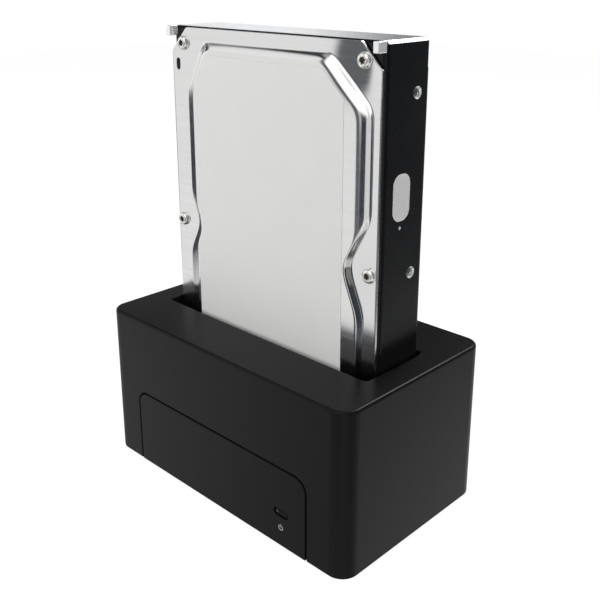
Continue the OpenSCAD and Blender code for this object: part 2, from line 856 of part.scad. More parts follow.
// Voltage regulator
module regulator_chip() {
    color(plastic_black) board_part(regulator_x, regulator_size);
}

// Coil of the voltage regulator
module power_inductor() {
    color([0.25, 0.25, 0.27]) board_part(inductor_x, inductor_size);
}

// Capacitors that smooth the supply
module filter_capacitors() {
    color(steel) for (x = capacitor_x)
        translate([x, parts_y, board_top]) cylinder(r = capacitor_r, h = capacitor_h);
}

// Clock crystal of the controller
module clock_crystal() {
    color(steel) board_part(crystal_x, crystal_size);
}

// Light under the board beside the switch
module status_led() {
    color([0.7, 0.8, 1]) translate([button_x - switch_w/2 - led_gap - led_size[0], switch_y,
        board_z - led_size[2]]) cube(led_size);
}

// Body of the push switch, hung under the board's front edge
module tact_switch() {
    color(plastic_black) difference() {
        translate([button_x - switch_w/2, switch_y, board_z - switch_h]) cube([switch_w, switch_d, switch_h]);
        translate([button_x - plunger_w/2 - plunger_fit, switch_y - cut,
            button_z - plunger_h/2 - plunger_fit])
            cube([plunger_w + 2*plunger_fit, cut + plunger_in + button_travel + switch_play,
                plunger_h + 2*plunger_fit]);
    }
}

// Power button

// Button in the front panel, with a collar that stops it from falling out
module button_cap() {
    color(plastic_black) difference() {
        union() {
            along_y(button_y0, lap_y1 + collar_t/2) translate([button_x, button_z])
                obround(button_w, button_h);
            along_y(lap_y1, collar_y1) translate([button_x, button_z])
                obround(button_w + 2*collar_lap, button_h + 2*collar_lap);
            along_y(lap_y1, stem_y1) translate([button_x, button_z])
                square([plunger_w, plunger_h], center = true);
        }
        rod_y(lens_x, button_z, lens_r, button_y0 - cut, button_y0 + lens_len);
    }
}

// Clear window in the button's left end
module button_lens() {
    color([0.85, 0.92, 1]) rod_y(lens_x, button_z, lens_r, button_y0, button_y0 + lens_len);
}

// Plunger of the push switch, which the button's stem presses
module switch_plunger() {
    color([0.9, 0.88, 0.8]) translate([button_x - plunger_w/2, stem_y1, button_z - plunger_h/2])
        cube([plunger_w, plunger_out + plunger_in, plunger_h]);
}

// Hard drive, outside

// Cast base of the drive with its cavity, mounting holes and recess for the circuit board
module drive_casting() {
    color(casting_black) in_slot() difference() {
        union() {
            translate([-drive_w/2, rim_y, 0]) cube([drive_w, drive_t - rim_y, drive_h]);
            for (s = [-1, 1])
                translate([s*(drive_w/2 - lug_w/2) - lug_w/2, 0, drive_h - lug_h])
                    cube([lug_w, rim_y + cut, lug_h]);
        }
        along_y(rim_y - cut, cavity_y) cavity_outline();
        difference() {
            along_y(recess_y, drive_t + cut) translate([-pcb_w/2 - pcb_fit, -cut])
                square([pcb_w + 2*pcb_fit, pcb_top + pcb_fit + cut]);
            drive_board_posts(pcb_post_r, recess_y - cut, pcb_y);
        }
        drive_board_posts(pcb_screw_r + shank_fit, pcb_y + pcb_t - pcb_screw_len - tip_room/2, pcb_y + cut);
        translate([plug_x - shroud_w/2 - plug_fit, plug_y - shroud_d/2 - plug_fit, -cut])
            cube([shroud_w + 2*plug_fit, drive_t, shroud_h + cut]);
        rod_y(0, spindle_z, motor_r + bore_fit, cavity_y - cut, drive_t + cut);
        rod_y(0, spindle_z, motor_flange_r + bore_fit, motor_y1 - motor_flange_t, drive_t + cut);
        translate([-drive_w/2 - cut, drive_t - rear_step, rear_step_z])
            cube([drive_w + 2*cut, rear_step + cut, drive_h]);
        for (z = side_hole_z, s = [-1, 1])
            translate([s*drive_w/2, side_hole_y, z]) rotate([0, 90, 0])
                cylinder(r = mount_r, h = 2*side_hole_depth, center = true);
        for (z = back_hole_z, s = [-1, 1])
            rod_y(s*back_hole_x, z, mount_r, drive_t - back_hole_depth, drive_t + cut);
        for (p = cover_screw_places())
            rod_y(p[0], p[1], cover_screw_r + shank_fit, rim_y - cut, rim_y + cover_shank);
    }
}

// Posts or holes for the screws of the drive's circuit board
module drive_board_posts(r, y0, y1) {
    for (x = [-1, 1], z = pcb_screw_z)
        rod_y(x*pcb_screw_x, z, r, y0, y1);
}

// Pressed steel cover: a flange with a raised plateau
module drive_cover() {
    foot = plateau_foot();
    top = drawn_in(foot, plateau_slopes(0, 0));
    middle = [0, notch_z];
    color(steel) in_slot() difference() {
        union() {
            along_y(flange_y, gasket_y) cover_outline(0);
            loft_y(foot, top, flange_y + sheet_t/4, label_t, middle);
        }
        loft_y(foot, top, gasket_y + sheet_t/4, label_t + sheet_t, middle);
        for (p = cover_screw_places())
            rod_y(p[0], p[1], cover_screw_r + cover_pass, flange_y - cut, gasket_y + cut);
        along_y(flange_y - cut, gasket_y + cut)
            translate(vent_hole) rotate(90) obround(vent_len, vent_w);
    }
}

// Rubber gasket between the cover and the casting
module cover_gasket() {
    color([0.02, 0.02, 0.02]) in_slot() along_y(gasket_y, rim_y) difference() {
        cover_outline(gasket_inset);
        cavity_outline();
        for (p = cover_screw_places())
            translate(p) circle(cover_screw_r + pass_fit);
    }
}

// Screws of the cover
module cover_screws() {
    shank = sheet_t + gasket_t + cover_shank - tip_room/2;
    color(steel) in_slot() for (p = cover_screw_places())
        translate([p[0], flange_y, p[1]]) rotate([90, 0, 0])
            down_screw(cover_screw_r, shank, cover_head_r, cover_head_h);
}

// Blank label on the plateau, with a straight right edge
module drive_label() {
    q = drawn_in(plateau_foot(), plateau_slopes(label_margin, label_top_margin));
    fall = (q[9][1] - q[8][1])/(q[9][0] - q[8][0]);
    color([0.82, 0.82, 0.82]) in_slot() along_y(0, label_t) polygon(concat(
        [[label_right, label_bottom], [q[2][0], label_bottom]], [for (i = [2:8]) q[i]],
        [[label_right, q[8][1] + (label_right - q[8][0])*fall]]));
}

// Foil seal on the casting's right side
module side_seal() {
    color([0.75, 0.75, 0.75]) in_slot() translate([drive_w/2, seal_y, seal_z]) rotate([90, 0, 90])
        linear_extrude(seal_t) rotate(90) obround(seal_h, seal_w);
}

// Circuit board of the drive, on the casting's posts
module drive_board() {
    color(board_green) in_slot() along_y(pcb_y, pcb_y + pcb_t) difference() {
        translate([-pcb_w/2, shroud_h]) square([pcb_w, pcb_top - shroud_h]);
        for (x = [-1, 1], z = pcb_screw_z)
            translate([x*pcb_screw_x, z]) circle(pcb_screw_r + pass_fit);
    }
}

// Screws of the drive's circuit board
module drive_board_screws() {
    color(steel) in_slot() for (x = [-1, 1], z = pcb_screw_z)
        translate([x*pcb_screw_x, pcb_y + pcb_t, z]) rotate([-90, 0, 0])
            down_screw(pcb_screw_r, pcb_screw_len, pcb_head_r, pcb_head_h);
}

// Plug of the drive: a shroud with the power blade and the signal blade
module drive_plug() {
    color(plastic_black) in_slot() translate([0, plug_y, 0]) {
        difference() {
            translate([plug_x - shroud_w/2, -shroud_d/2, 0]) cube([shroud_w, shroud_d, shroud_h]);
            translate([plug_x - recept_w/2 - plug_fit, -recept_d/2 - plug_fit, -cut])
                cube([recept_w + 2*plug_fit, recept_d + 2*plug_fit, shroud_in + cut]);
        }
        for (b = [[power_x, power_blade], [signal_x, signal_blade]])
            translate([b[0] - b[1]/2, -blade_t/2, blade_tip])
                cube([b[1], blade_t, shroud_in + cut - blade_tip]);
    }
}

// Contact strips on the blades of the plug
module plug_contacts() {
    color(gold) in_slot() for (x = contact_places())
        translate([x - contact_w/2, plug_y - blade_t/2 - strip_t, blade_tip])
            cube([contact_w, strip_t, shroud_in - blade_tip]);
}

// Hard drive, inside

// Spindle motor, held in the casting's round hole
module spindle_motor() {
    color(steel) in_slot() difference() {
        union() {
            rod_y(0, spindle_z, motor_r, cavity_y - motor_proud, motor_y1);
            rod_y(0, spindle_z, motor_flange_r, motor_y1 - motor_flange_t, motor_y1);
        }
        rod_y(0, spindle_z, shaft_r + bore_fit, cavity_y - motor_proud - cut, motor_y1 - motor_flange_t);
    }
}

// Post that the actuator turns on
module pivot_post() {
    color(steel) in_slot() rod_y(pivot[0], pivot[1], pivot_r, barrel_y0, cavity_y);
}

// Two magnet plates around the voice coil, held apart by three posts
module magnet_yokes() {
    low_y0 = coil_y + coil_t + yoke_gap;
    high_y1 = coil_y - yoke_gap;
    color([0.6, 0.6, 0.62]) in_slot() {
        along_y(low_y0, cavity_y) yoke_plate();
        along_y(high_y1 - yoke_t, high_y1) yoke_plate();
        for (a = [yoke_low_a + yoke_post_a, (yoke_low_a + yoke_high_a)/2, yoke_high_a - yoke_post_a])
            on_pivot(high_y1 - yoke_t/2, low_y0 + yoke_t/2, a)
                translate([yoke_post_c, 0]) circle(yoke_post_r);
    }
}

// Outline of a magnet plate: a sector of a ring around the pivot
module yoke_plate() {
    far = 2*yoke_r1;
    mid = (yoke_low_a + yoke_high_a)/2;
    translate(pivot) intersection() {
        difference() {
            circle(yoke_r1);
            circle(yoke_r0);
        }
        polygon([[0, 0], for (a = [yoke_low_a, mid, yoke_high_a]) far*[cos(a), sin(a)]]);
    }
}

// Turning hub with its shaft
module spindle_hub() {
    color([0.7, 0.7, 0.72]) in_slot() {
        rod_y(0, spindle_z, hub_r, discs_y0 - clamp_t/2, discs_y1 + hub_flange_t);
        rod_y(0, spindle_z, hub_flange_r, discs_y1, discs_y1 + hub_flange_t);
        rod_y(0, spindle_z, shaft_r, discs_y1, cavity_y + shaft_in);
    }
}

// Polished discs
module discs() {
    color(disc_silver) in_slot() for (i = [0:disc_count - 1])
        along_y(discs_y0 + i*disc_pitch, discs_y0 + i*disc_pitch + disc_t)
            translate([0, spindle_z]) difference() {
                circle(disc_r);
                circle(hub_r + bore_fit);
            }
}

// Rings between the discs
module disc_spacers() {
    color([0.7, 0.7, 0.72]) in_slot() for (i = [1:disc_count - 1])
        along_y(discs_y0 + i*disc_pitch - disc_gap, discs_y0 + i*disc_pitch)
            translate([0, spindle_z]) difference() {
                circle(hub_flange_r);
                circle(hub_r + bore_fit);
            }
}

// Cap that clamps the discs to the hub
module disc_clamp() {
    color(steel) in_slot() difference() {
        rod_y(0, spindle_z, clamp_r, discs_y0 - clamp_t, discs_y0);
        rod_y(0, spindle_z, hub_r + bore_fit, discs_y0 - clamp_t/2, discs_y0 + cut);
    }
}

// Actuator: a barrel with one arm over each disc surface and a saddle for the coil
module actuator_arm() {
    first = discs_y0 - disc_gap/2 - arm_t/2;
    color([0.7, 0.7, 0.72]) in_slot() difference() {
        union() {
            rod_y(pivot[0], pivot[1], barrel_r, barrel_y0, barrel_y1);
            for (i = [0:disc_count])
                on_pivot(first + i*disc_pitch, first + i*disc_pitch + arm_t, arm_angle)
                    polygon([[0, -arm_root], [arm_len, -arm_tip], [arm_len, arm_tip], [0, arm_root]]);
            on_pivot(coil_y, coil_y + coil_t, arm_angle + 180)
                translate([0, -coil_half]) square([coil_r0, 2*coil_half]);
        }
        rod_y(pivot[0], pivot[1], pivot_r + bore_fit, barrel_y0 - cut, barrel_y1 + cut);
    }
}

// Voice coil of the actuator
module voice_coil() {
    color([0.75, 0.42, 0.2]) in_slot() on_pivot(coil_y, coil_y + coil_t, arm_angle + 180) difference() {
        translate([coil_r0, -coil_half]) square([coil_r1 - coil_r0, 2*coil_half]);
        translate([coil_r0 + coil_wire, -coil_half + coil_wire])
            square([coil_r1 - coil_r0 - 2*coil_wire, 2*(coil_half - coil_wire)]);
    }
}

top_shell();
drive_well();
front_panel();
base_plate();
base_screws();
rubber_feet();
main_board();
board_screws();
well_screws();
sata_receptacle();
sata_contacts();
usb_shell();
usb_tongue();
usb_contacts();
power_inlet();
inlet_pin();
bridge_chip();
regulator_chip();
power_inductor();
filter_capacitors();
clock_crystal();
status_led();
tact_switch();
button_cap();
button_lens();
switch_plunger();
drive_casting();
drive_cover();
cover_gasket();
cover_screws();
drive_label();
side_seal();
drive_board();
drive_board_screws();
drive_plug();
plug_contacts();
spindle_motor();
pivot_post();
magnet_yokes();
spindle_hub();
discs();
disc_spacers();
disc_clamp();
actuator_arm();
voice_coil();
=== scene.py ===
import math
from functools import partial

import bmesh
import bpy
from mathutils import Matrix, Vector
from mathutils.geometry import delaunay_2d_cdt


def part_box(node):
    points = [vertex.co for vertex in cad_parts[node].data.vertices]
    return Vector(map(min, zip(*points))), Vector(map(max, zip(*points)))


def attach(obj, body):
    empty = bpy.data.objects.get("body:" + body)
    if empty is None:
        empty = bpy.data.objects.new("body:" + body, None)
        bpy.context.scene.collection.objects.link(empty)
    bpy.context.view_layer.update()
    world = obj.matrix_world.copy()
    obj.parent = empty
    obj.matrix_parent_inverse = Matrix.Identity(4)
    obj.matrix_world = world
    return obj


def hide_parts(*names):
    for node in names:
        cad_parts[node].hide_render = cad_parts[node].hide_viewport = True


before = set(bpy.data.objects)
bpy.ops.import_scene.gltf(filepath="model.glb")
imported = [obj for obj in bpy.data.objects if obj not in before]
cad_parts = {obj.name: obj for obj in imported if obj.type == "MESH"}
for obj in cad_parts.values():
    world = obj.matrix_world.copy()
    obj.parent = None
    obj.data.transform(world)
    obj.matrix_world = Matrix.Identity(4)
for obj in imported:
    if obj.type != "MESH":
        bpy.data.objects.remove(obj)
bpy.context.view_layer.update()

scene = bpy.context.scene
mm = 0.001

# Camera
# The dock stands with its front right corner to the viewer, seen from a little above and from about
# 0.3 m. The lens looks level with the drive, and its axis is shifted down to frame the whole dock.
view_bearing = math.radians(44.07)
view_height = math.radians(17.4)
view_reach = 308.4*mm
view_aim = Vector((6.7*mm, 0, 99.8*mm))
view_back = Vector((
    math.sin(view_bearing)*math.cos(view_height), -math.cos(view_bearing)*math.cos(view_height),
    math.sin(view_height)))
camera = bpy.data.objects.new("camera", bpy.data.cameras.new("camera"))
camera.data.lens = 51.245
camera.data.shift_y = -0.1133
camera.data.clip_start = 10*mm
camera.location = view_aim + view_back*view_reach
camera.rotation_euler = view_back.to_track_quat("Z", "Y").to_euler()
scene.collection.objects.link(camera)
scene.camera = camera
scene.view_settings.view_transform = "Standard"

# Studio
# A white set: an even soft light, two large lamps, and a pale floor. What shines sees the set's bright
# screens and the dark room between them, which draw the form of the pressed steel. It also sees a small
# lamp behind the dock, which draws the shell's upper right edge.
ambient = 0.33
room_dark = (0.042, 0.049, 0.06, 1)
white = (1, 1, 1, 1)
# Screens: bearing left of the front, half width and soft edge in degrees, sine of the lowest and the
# highest direction, soft edge of those, and brightness
screens = (
    (46.5, 10, 6, -0.48, 0.2, 0.12, 0.9),
    (55, 18, 8, 0.32, 0.64, 0.12, 0.95),
    (-34, 56, 8, -0.78, -0.52, 0.08, 0.75),
    (-8, 27, 8, 0.28, 0.9, 0.1, 1.35),
    (-42, 10, 5, -0.5, 0.2, 0.08, 0.75),
    (8, 5, 5, -0.12, 0.3, 0.08, 0.4),
    (18, 10, 8, -0.6, 0.1, 0.2, 0.09),
    (69, 8, 8, -1.1, -0.42, 0.06, 0.7),
    (48, 14, 8, -1.1, -0.58, 0.08, 0.22),
    (82, 20, 6, -0.46, -0.33, 0.03, 0.65),
    (99, 36, 9, -0.05, 0.2, 0.07, 1.05),
    (185, 20, 15, 0.5, 0.9, 0.1, 1.2),
    (-140, 30, 20, -0.8, -0.48, 0.14, 0.75),
    (180, 22, 16, -0.6, -0.1, 0.2, 0.5),
    (0, 180, 1, 0.9, 1.1, 0.1, 0.4))
# Lamps: place in metres, width, power, and whether it is seen only in what shines or only lights
lamps = {"key_lamp": ((-0.5, -0.95, 0.5), 0.6, 9.1, False),
         "side_lamp": ((0.95, -0.1, 0.5), 0.6, 6.0, False),
         "edge_lamp": ((-0.03, 0.72, 0.87), 0.3, 6.5, True)}
floor_half = 1.6
floor_drop = 0.05*mm
floor_glow = 0.9
floor_grey = (0.5, 0.5, 0.5, 1)
floor_veil = (0.24, 0.24, 0.24, 1)


def put(tree, kind, inputs=None, **settings):
    """One node with its settings; an input is given as a value, or as the node or socket that feeds it."""
    made = tree.nodes.new(kind)
    for key, value in settings.items():
        setattr(made, key, value)
    for key, value in (inputs or {}).items():
        if isinstance(value, bpy.types.Node):
            value = value.outputs[0]
        if isinstance(value, bpy.types.NodeSocket):
            tree.links.new(value, made.inputs[key])
        else:
            made.inputs[key].default_value = value
    return made


def calc(tree, operation, *values):
    return put(tree, "ShaderNodeMath", dict(enumerate(values)), operation=operation).outputs[0]


def ramp(tree, value, start, end):
    """Soft step from 0 at start to 1 at end."""
    return put(tree, "ShaderNodeMapRange", {"Value": value, "From Min": start, "From Max": end},
               interpolation_type="SMOOTHSTEP").outputs["Result"]


def node_group(name, inputs, outputs, kind="ShaderNodeTree"):
    """Group of nodes with named inputs (name, kind, value) and outputs (name, kind)."""
    tree = bpy.data.node_groups.new(name, kind)
    for label, socket, value in inputs:
        made = tree.interface.new_socket(label, in_out="INPUT", socket_type="NodeSocket" + socket)
        if value is not None:
            made.default_value = value
    for label, socket in outputs:
        tree.interface.new_socket(label, in_out="OUTPUT", socket_type="NodeSocket" + socket)
    return tree, tree.nodes.new("NodeGroupInput").outputs, tree.nodes.new("NodeGroupOutput").inputs


def placed(tree, group, *values):
    """Outputs of a group that is placed in a tree with these values."""
    return put(tree, "ShaderNodeGroup", dict(enumerate(values)), node_tree=group).outputs


def vector(tree, operation, *values):
    return put(tree, "ShaderNodeVectorMath", dict(enumerate(values)), operation=operation)


screen, given, wanted = node_group("soft_screen", (
    ("Direction", "Vector", None), ("Middle", "Float", 0), ("Half width", "Float", 20),
    ("Edge", "Float", 10), ("Low", "Float", -1), ("High", "Float", 1), ("Fade", "Float", 0.1)),
    (("Light", "Float"),))
do = partial(calc, screen)
turned = vector(screen, "MULTIPLY", given["Direction"], (-1, -1, -1))
ways = put(screen, "ShaderNodeSeparateXYZ", {0: turned}).outputs
bearing = do("DEGREES", do("ARCTAN2", ways["X"], ways["Y"]))
bearing = do("WRAP", do("SUBTRACT", bearing, given["Middle"]), 180.0, -180.0)
rise = do("MULTIPLY", ways["Z"], -1.0)
reach = do("ADD", given["Half width"], given["Edge"])
across = ramp(screen, do("ABSOLUTE", bearing), reach, given["Half width"])
below = ramp(screen, rise, do("ADD", given["High"], given["Fade"]), given["High"])
above = ramp(screen, rise, do("SUBTRACT", given["Low"], given["Fade"]), given["Low"])
screen.links.new(do("MULTIPLY", across, do("MULTIPLY", below, above)), wanted["Light"])


def lens_or_set(tree, ray, lights, shown):
    """Shows the lens one thing, straight or through something clear, and lights the set by another."""
    seen = calc(tree, "MAXIMUM", ray["Is Camera Ray"], ray["Is Transmission Ray"])
    return put(tree, "ShaderNodeMixShader", {0: seen, 1: lights, 2: shown})


def backdrop(colour, strength=1.0):
    return put(studio, "ShaderNodeBackground", {"Color": colour, "Strength": strength})


world = bpy.data.worlds.new("studio")
scene.world = world
world.use_nodes = True
world.cycles.sampling_method = "NONE"
studio = world.node_tree
studio.nodes.clear()
way = put(studio, "ShaderNodeTexCoord").outputs["Generated"]
shine = 0.0
for *shape, strength in screens:
    lit = placed(studio, screen, way, *map(float, shape))
    shine = calc(studio, "MULTIPLY_ADD", lit[0], strength, shine)
ray = put(studio, "ShaderNodeLightPath").outputs
room = put(studio, "ShaderNodeAddShader", {0: backdrop(room_dark), 1: backdrop(white, shine)})
lights = put(studio, "ShaderNodeMixShader", {0: ray["Is Glossy Ray"], 1: backdrop(white, ambient), 2: room})
put(studio, "ShaderNodeOutputWorld", {0: lens_or_set(studio, ray, lights, backdrop(white))})

for name, (place, size, power, shines) in lamps.items():
    lamp = bpy.data.objects.new(name, bpy.data.lights.new(name, "AREA"))
    lamp.data.shape = "DISK"
    lamp.data.size = size
    lamp.data.energy = power
    lamp.location = place
    lamp.rotation_euler = (lamp.location - view_aim).to_track_quat("Z", "Y").to_euler()
    lamp.visible_glossy = shines
    lamp.visible_diffuse = not shines
    scene.collection.objects.link(lamp)

floor_mesh = bpy.data.meshes.new("floor")
floor_mesh.from_pydata([(x*floor_half, y*floor_half, -floor_drop)
                        for x, y in ((-1, -1), (1, -1), (1, 1), (-1, 1))], [], [(0, 1, 2, 3)])
floor = bpy.data.objects.new("floor", floor_mesh)
floor.visible_glossy = False
scene.collection.objects.link(floor)
paper = bpy.data.materials.new("floor_paper")
paper.use_nodes = True
tree = paper.node_tree
tree.nodes.clear()
glow = put(tree, "ShaderNodeEmission", {"Color": white, "Strength": floor_glow})
matt = put(tree, "ShaderNodeBsdfDiffuse", {"Color": floor_grey})
veil = put(tree, "ShaderNodeBsdfDiffuse", {"Color": floor_veil})
shaded = put(tree, "ShaderNodeAddShader", {0: glow, 1: veil})
ray = put(tree, "ShaderNodeLightPath").outputs
put(tree, "ShaderNodeOutputMaterial", {0: lens_or_set(tree, ray, matt, shaded)})
floor_mesh.materials.append(paper)

# Base plate
# A flat moulding of black plastic that closes the dock from below. It carries the main board on four
# posts, and four screws from below draw it up against the top shell.
shell_black = (0.0066, 0.0064, 0.0066, 1)


def material_nodes(name, **constants):
    """New material: itself, its tree, its shader with these constants set, and its Object coordinates."""
    made = bpy.data.materials.new(name)
    made.use_nodes = True
    shader = made.node_tree.nodes["Principled BSDF"]
    for key, value in constants.items():
        shader.inputs[key.replace("_", " ")].default_value = value
    return made, made.node_tree, shader, put(made.node_tree, "ShaderNodeTexCoord").outputs["Object"]


def coloured(tree, shader, colour, rough):
    tree.links.new(colour, shader.inputs["Base Color"])
    tree.links.new(rough, shader.inputs["Roughness"])


def noise(tree, spot, scale, detail):
    return put(tree, "ShaderNodeTexNoise", {"Vector": spot, "Scale": scale, "Detail": detail}).outputs[0]


def bumpy(tree, shader, height, distance, strength=1.0):
    bump = put(tree, "ShaderNodeBump", {"Strength": strength, "Distance": distance, "Height": height})
    tree.links.new(bump.outputs[0], shader.inputs["Normal"])


# Grain of a moulded or coated surface: fine texture, broad mottling, and gloss that follows them
grain, given, wanted = node_group("moulded_grain", (
    ("Position", "Vector", None), ("Colour", "Color", white), ("Roughness", "Float", 0.5),
    ("Grains per metre", "Float", 2500), ("Mottle", "Float", 0.1)),
    (("Colour", "Color"), ("Roughness", "Float"), ("Height", "Float")))
do = partial(calc, grain)
fine = noise(grain, given["Position"], given["Grains per metre"], 2.0)
broad = noise(grain, given["Position"], 60.0, 3.0)
swing = do("MULTIPLY", do("SUBTRACT", broad, 0.5), given["Mottle"])
mottled = put(grain, "ShaderNodeHueSaturation", {
    "Value": do("MULTIPLY_ADD", swing, 2.0, 1.0), "Color": given["Colour"]})
uneven = do("MULTIPLY_ADD", do("SUBTRACT", fine, 0.5), 0.12, given["Roughness"])
grain.links.new(mottled.outputs[0], wanted["Colour"])
grain.links.new(do("MULTIPLY_ADD", swing, 0.4, uneven), wanted["Roughness"])
grain.links.new(fine, wanted["Height"])


def moulded(name, colour, rough, grains=2600.0, depth=0.012, mottle=0.12, **constants):
    """Moulded plastic, rubber or coating; depth is the height of its grain in millimetres."""
    made, tree, shader, spot = material_nodes(name, **constants)
    skin = placed(tree, grain, spot, colour, rough, grains, mottle)
    coloured(tree, shader, skin["Colour"], skin["Roughness"])
    bumpy(tree, shader, skin["Height"], depth*mm)
    return made


def dress(finish, *nodes):
    """Gives CAD nodes that keep their shape their finish."""
    for node in nodes:
        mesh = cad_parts[node].data
        mesh.materials.clear()
        mesh.materials.append(finish)


shell_plastic = moulded("shell_plastic", shell_black, 0.36, Specular_IOR_Level=0.11)
dress(shell_plastic, "base_plate")

# Rubber feet and base screws
# Four turned rubber discs are glued in pockets of the base plate. Beside them sit four steel screws with
# pan heads and star recesses, in counterbores, which cut their thread in the shell's corner bosses.
ring_steps = 48
screw_lobes = 6
dock_head = 1.4*mm
dock_shank = 0.5
dock_lobes = 0.16
up = (0, 0, 1)
down = (0, 0, -1)


def solids(node):
    """Lowest and highest corner of each separate solid in a CAD node."""
    bm = bmesh.new()
    bm.from_mesh(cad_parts[node].data)
    bmesh.ops.remove_doubles(bm, verts=bm.verts, dist=1e-6)
    left = set(bm.verts)
    found = []
    while left:
        group = [left.pop()]
        for vert in group:
            near = {edge.other_vert(vert) for edge in vert.link_edges} & left
            left -= near
            group.extend(near)
        spots = [v.co for v in group]
        found.append((Vector([min(c) for c in zip(*spots)]), Vector([max(c) for c in zip(*spots)])))
    bm.free()
    return sorted(found, key=lambda b: tuple(round(c, 5) for c in b[0]))


def turned_tree(name, outline):
    """Geometry Nodes that turn one outline on each given point. A step of the outline is its radius and
    height as shares of the piece's, and how much of the star recess's lobes it takes."""
    tree, given, wanted = node_group(name, (
        ("Places", "Geometry", None), ("Radius", "Float", 1*mm), ("Height", "Float", 1*mm),
        ("Lobe depth", "Float", 0), ("Axis", "Vector", up), ("Seed", "Int", 1),
        ("Finish", "Material", None)), (("Pieces", "Geometry"),), "GeometryNodeTree")
    add = partial(put, tree)
    do = partial(calc, tree)
    times = partial(calc, tree, "MULTIPLY")
    grid = add("GeometryNodeMeshGrid", {
        "Size X": 1.0, "Size Y": 1.0, "Vertices X": ring_steps + 1, "Vertices Y": len(outline)})
    share = add("ShaderNodeSeparateXYZ", {0: add("GeometryNodeInputPosition")}).outputs
    angle = times(do("ADD", share["X"], 0.5), math.tau)
    row = do("ROUND", times(do("ADD", share["Y"], 0.5), len(outline) - 1.0))
    steps = add("GeometryNodeIndexSwitch", data_type="VECTOR")
    for _ in outline[2:]:
        steps.index_switch_items.new()
    tree.links.new(row, steps.inputs[0])
    for i, step in enumerate(outline):
        steps.inputs[i + 1].default_value = step
    step = add("ShaderNodeSeparateXYZ", {0: steps}).outputs
    wave = do("COSINE", times(angle, float(screw_lobes)))
    lobe = times(times(step["Z"], given["Lobe depth"]), wave)
    radius = times(times(step["X"], given["Radius"]), do("ADD", lobe, 1.0))
    spot = add("ShaderNodeCombineXYZ", {
        0: times(radius, do("COSINE", angle)), 1: times(radius, do("SINE", angle)),
        2: times(step["Y"], given["Height"])})
    marked = add("GeometryNodeStoreNamedAttribute", {
        "Geometry": grid, "Name": "recess", "Value": step["Z"]}, data_type="FLOAT", domain="POINT")
    shaped = add("GeometryNodeSetPosition", {"Geometry": marked, "Position": spot})
    joined = add("GeometryNodeMergeByDistance", {"Geometry": shaped, "Distance": 1e-6})
    facing = add("FunctionNodeAlignRotationToVector", {"Vector": given["Axis"]}, axis="Z")
    chance = add("FunctionNodeRandomValue", {2: 0.0, 3: math.tau, "Seed": given["Seed"]}, data_type="FLOAT")
    spin = add("FunctionNodeAxisAngleToRotation", {"Axis": (0, 0, 1), "Angle": chance.outputs[1]})
    lying = add("FunctionNodeRotateRotation", {0: facing, 1: spin}, rotation_space="LOCAL")
    copies = add("GeometryNodeInstanceOnPoints", {
        "Points": given["Places"], "Instance": joined, "Rotation": lying})
    real = add("GeometryNodeRealizeInstances", {0: copies})
    done = add("GeometryNodeSetMaterial", {"Geometry": real, "Material": given["Finish"]})
    tree.links.new(done.outputs[0], wanted["Pieces"])
    return tree


def settle(obj, body, nodes, sharp=35):
    """Turns a new piece's faces outwards, smooths them up to the sharp angle, and hands the piece over."""
    bm = bmesh.new()
    bm.from_mesh(obj.data)
    bmesh.ops.recalc_face_normals(bm, faces=bm.faces)
    bm.to_mesh(obj.data)
    bm.free()
    obj.data.shade_smooth()
    obj.data.set_sharp_from_angle(angle=math.radians(sharp))
    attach(obj, body)
    if nodes:
        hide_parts(*nodes)


def turn_on(name, outline, places, sizes, finish, body, slot, *nodes):
    """Turns an outline on these places and keeps what comes of it as a plain mesh."""
    mesh = bpy.data.meshes.new(name + "_places")
    mesh.from_pydata([tuple(p) for p in places], [], [])
    obj = bpy.data.objects.new(name, mesh)
    scene.collection.objects.link(obj)
    tree = turned_tree("turned_" + name, outline)
    run = obj.modifiers.new("turn", "NODES")
    run.node_group = tree
    sizes = dict(sizes, Finish=finish)
    for item in tree.interface.items_tree:
        if item.in_out == "INPUT" and item.name in sizes:
            run[item.identifier] = sizes[item.name]
    obj.update_tag()
    solid = obj.evaluated_get(bpy.context.evaluated_depsgraph_get())
    plain = bpy.data.meshes.new_from_object(solid)
    obj.modifiers.clear()
    obj.data = plain
    plain.name = name
    settle(obj, body, nodes)


def middles(node, axis, end):
    """Middle of each of a node's solids, moved along the axis to its low (0) or high (1) end."""
    places = []
    for box in solids(node):
        spot = (box[0] + box[1])/2
        spot[axis] = box[end][axis]
        places.append(spot)
    return places


def span(node, axis):
    """Length of one of a node's solids along an axis."""
    low, high = solids(node)[0]
    return high[axis] - low[axis]


def turned_set(node, outline, way, lobes, seed, finish, body, slot):
    """Turned pieces in the places of a CAD node's solids, standing along way."""
    axis = [abs(c) for c in way].index(1)
    sizes = {"Radius": span(node, 0)/2, "Height": span(node, axis), "Lobe depth": lobes, "Axis": way,
             "Seed": seed}
    turn_on(node, outline, middles(node, axis, int(way[axis] < 0)), sizes, finish, body, slot, node)


def screw_set(node, head, shank, way, lobes, seed, finish, body, slot):
    """Screws with pan heads and star recesses; shank is its share of the head's radius."""
    head = head/span(node, [abs(c) for c in way].index(1))
    recess = [(0, 0.95, 1), (0.34, 0.92, 1), (0.4, 0.08, 1), (0.46, 0.01, 0.3)]
    crown = [(0.52, 0), (0.63, 0.03), (0.76, 0.12), (0.88, 0.29), (0.96, 0.52), (1, 0.8)]
    outline = [(r, 1 - head*deep, lobe) for r, deep, lobe in recess]
    outline += [(r, 1 - head*deep, 0) for r, deep in crown]
    outline += [(0.99, 1 - head, 0), (shank, 1 - head, 0), (shank, 0.06, 0), (shank*0.7, 0, 0), (0, 0, 0)]
    turned_set(node, outline, way, lobes, seed, finish, body, slot)


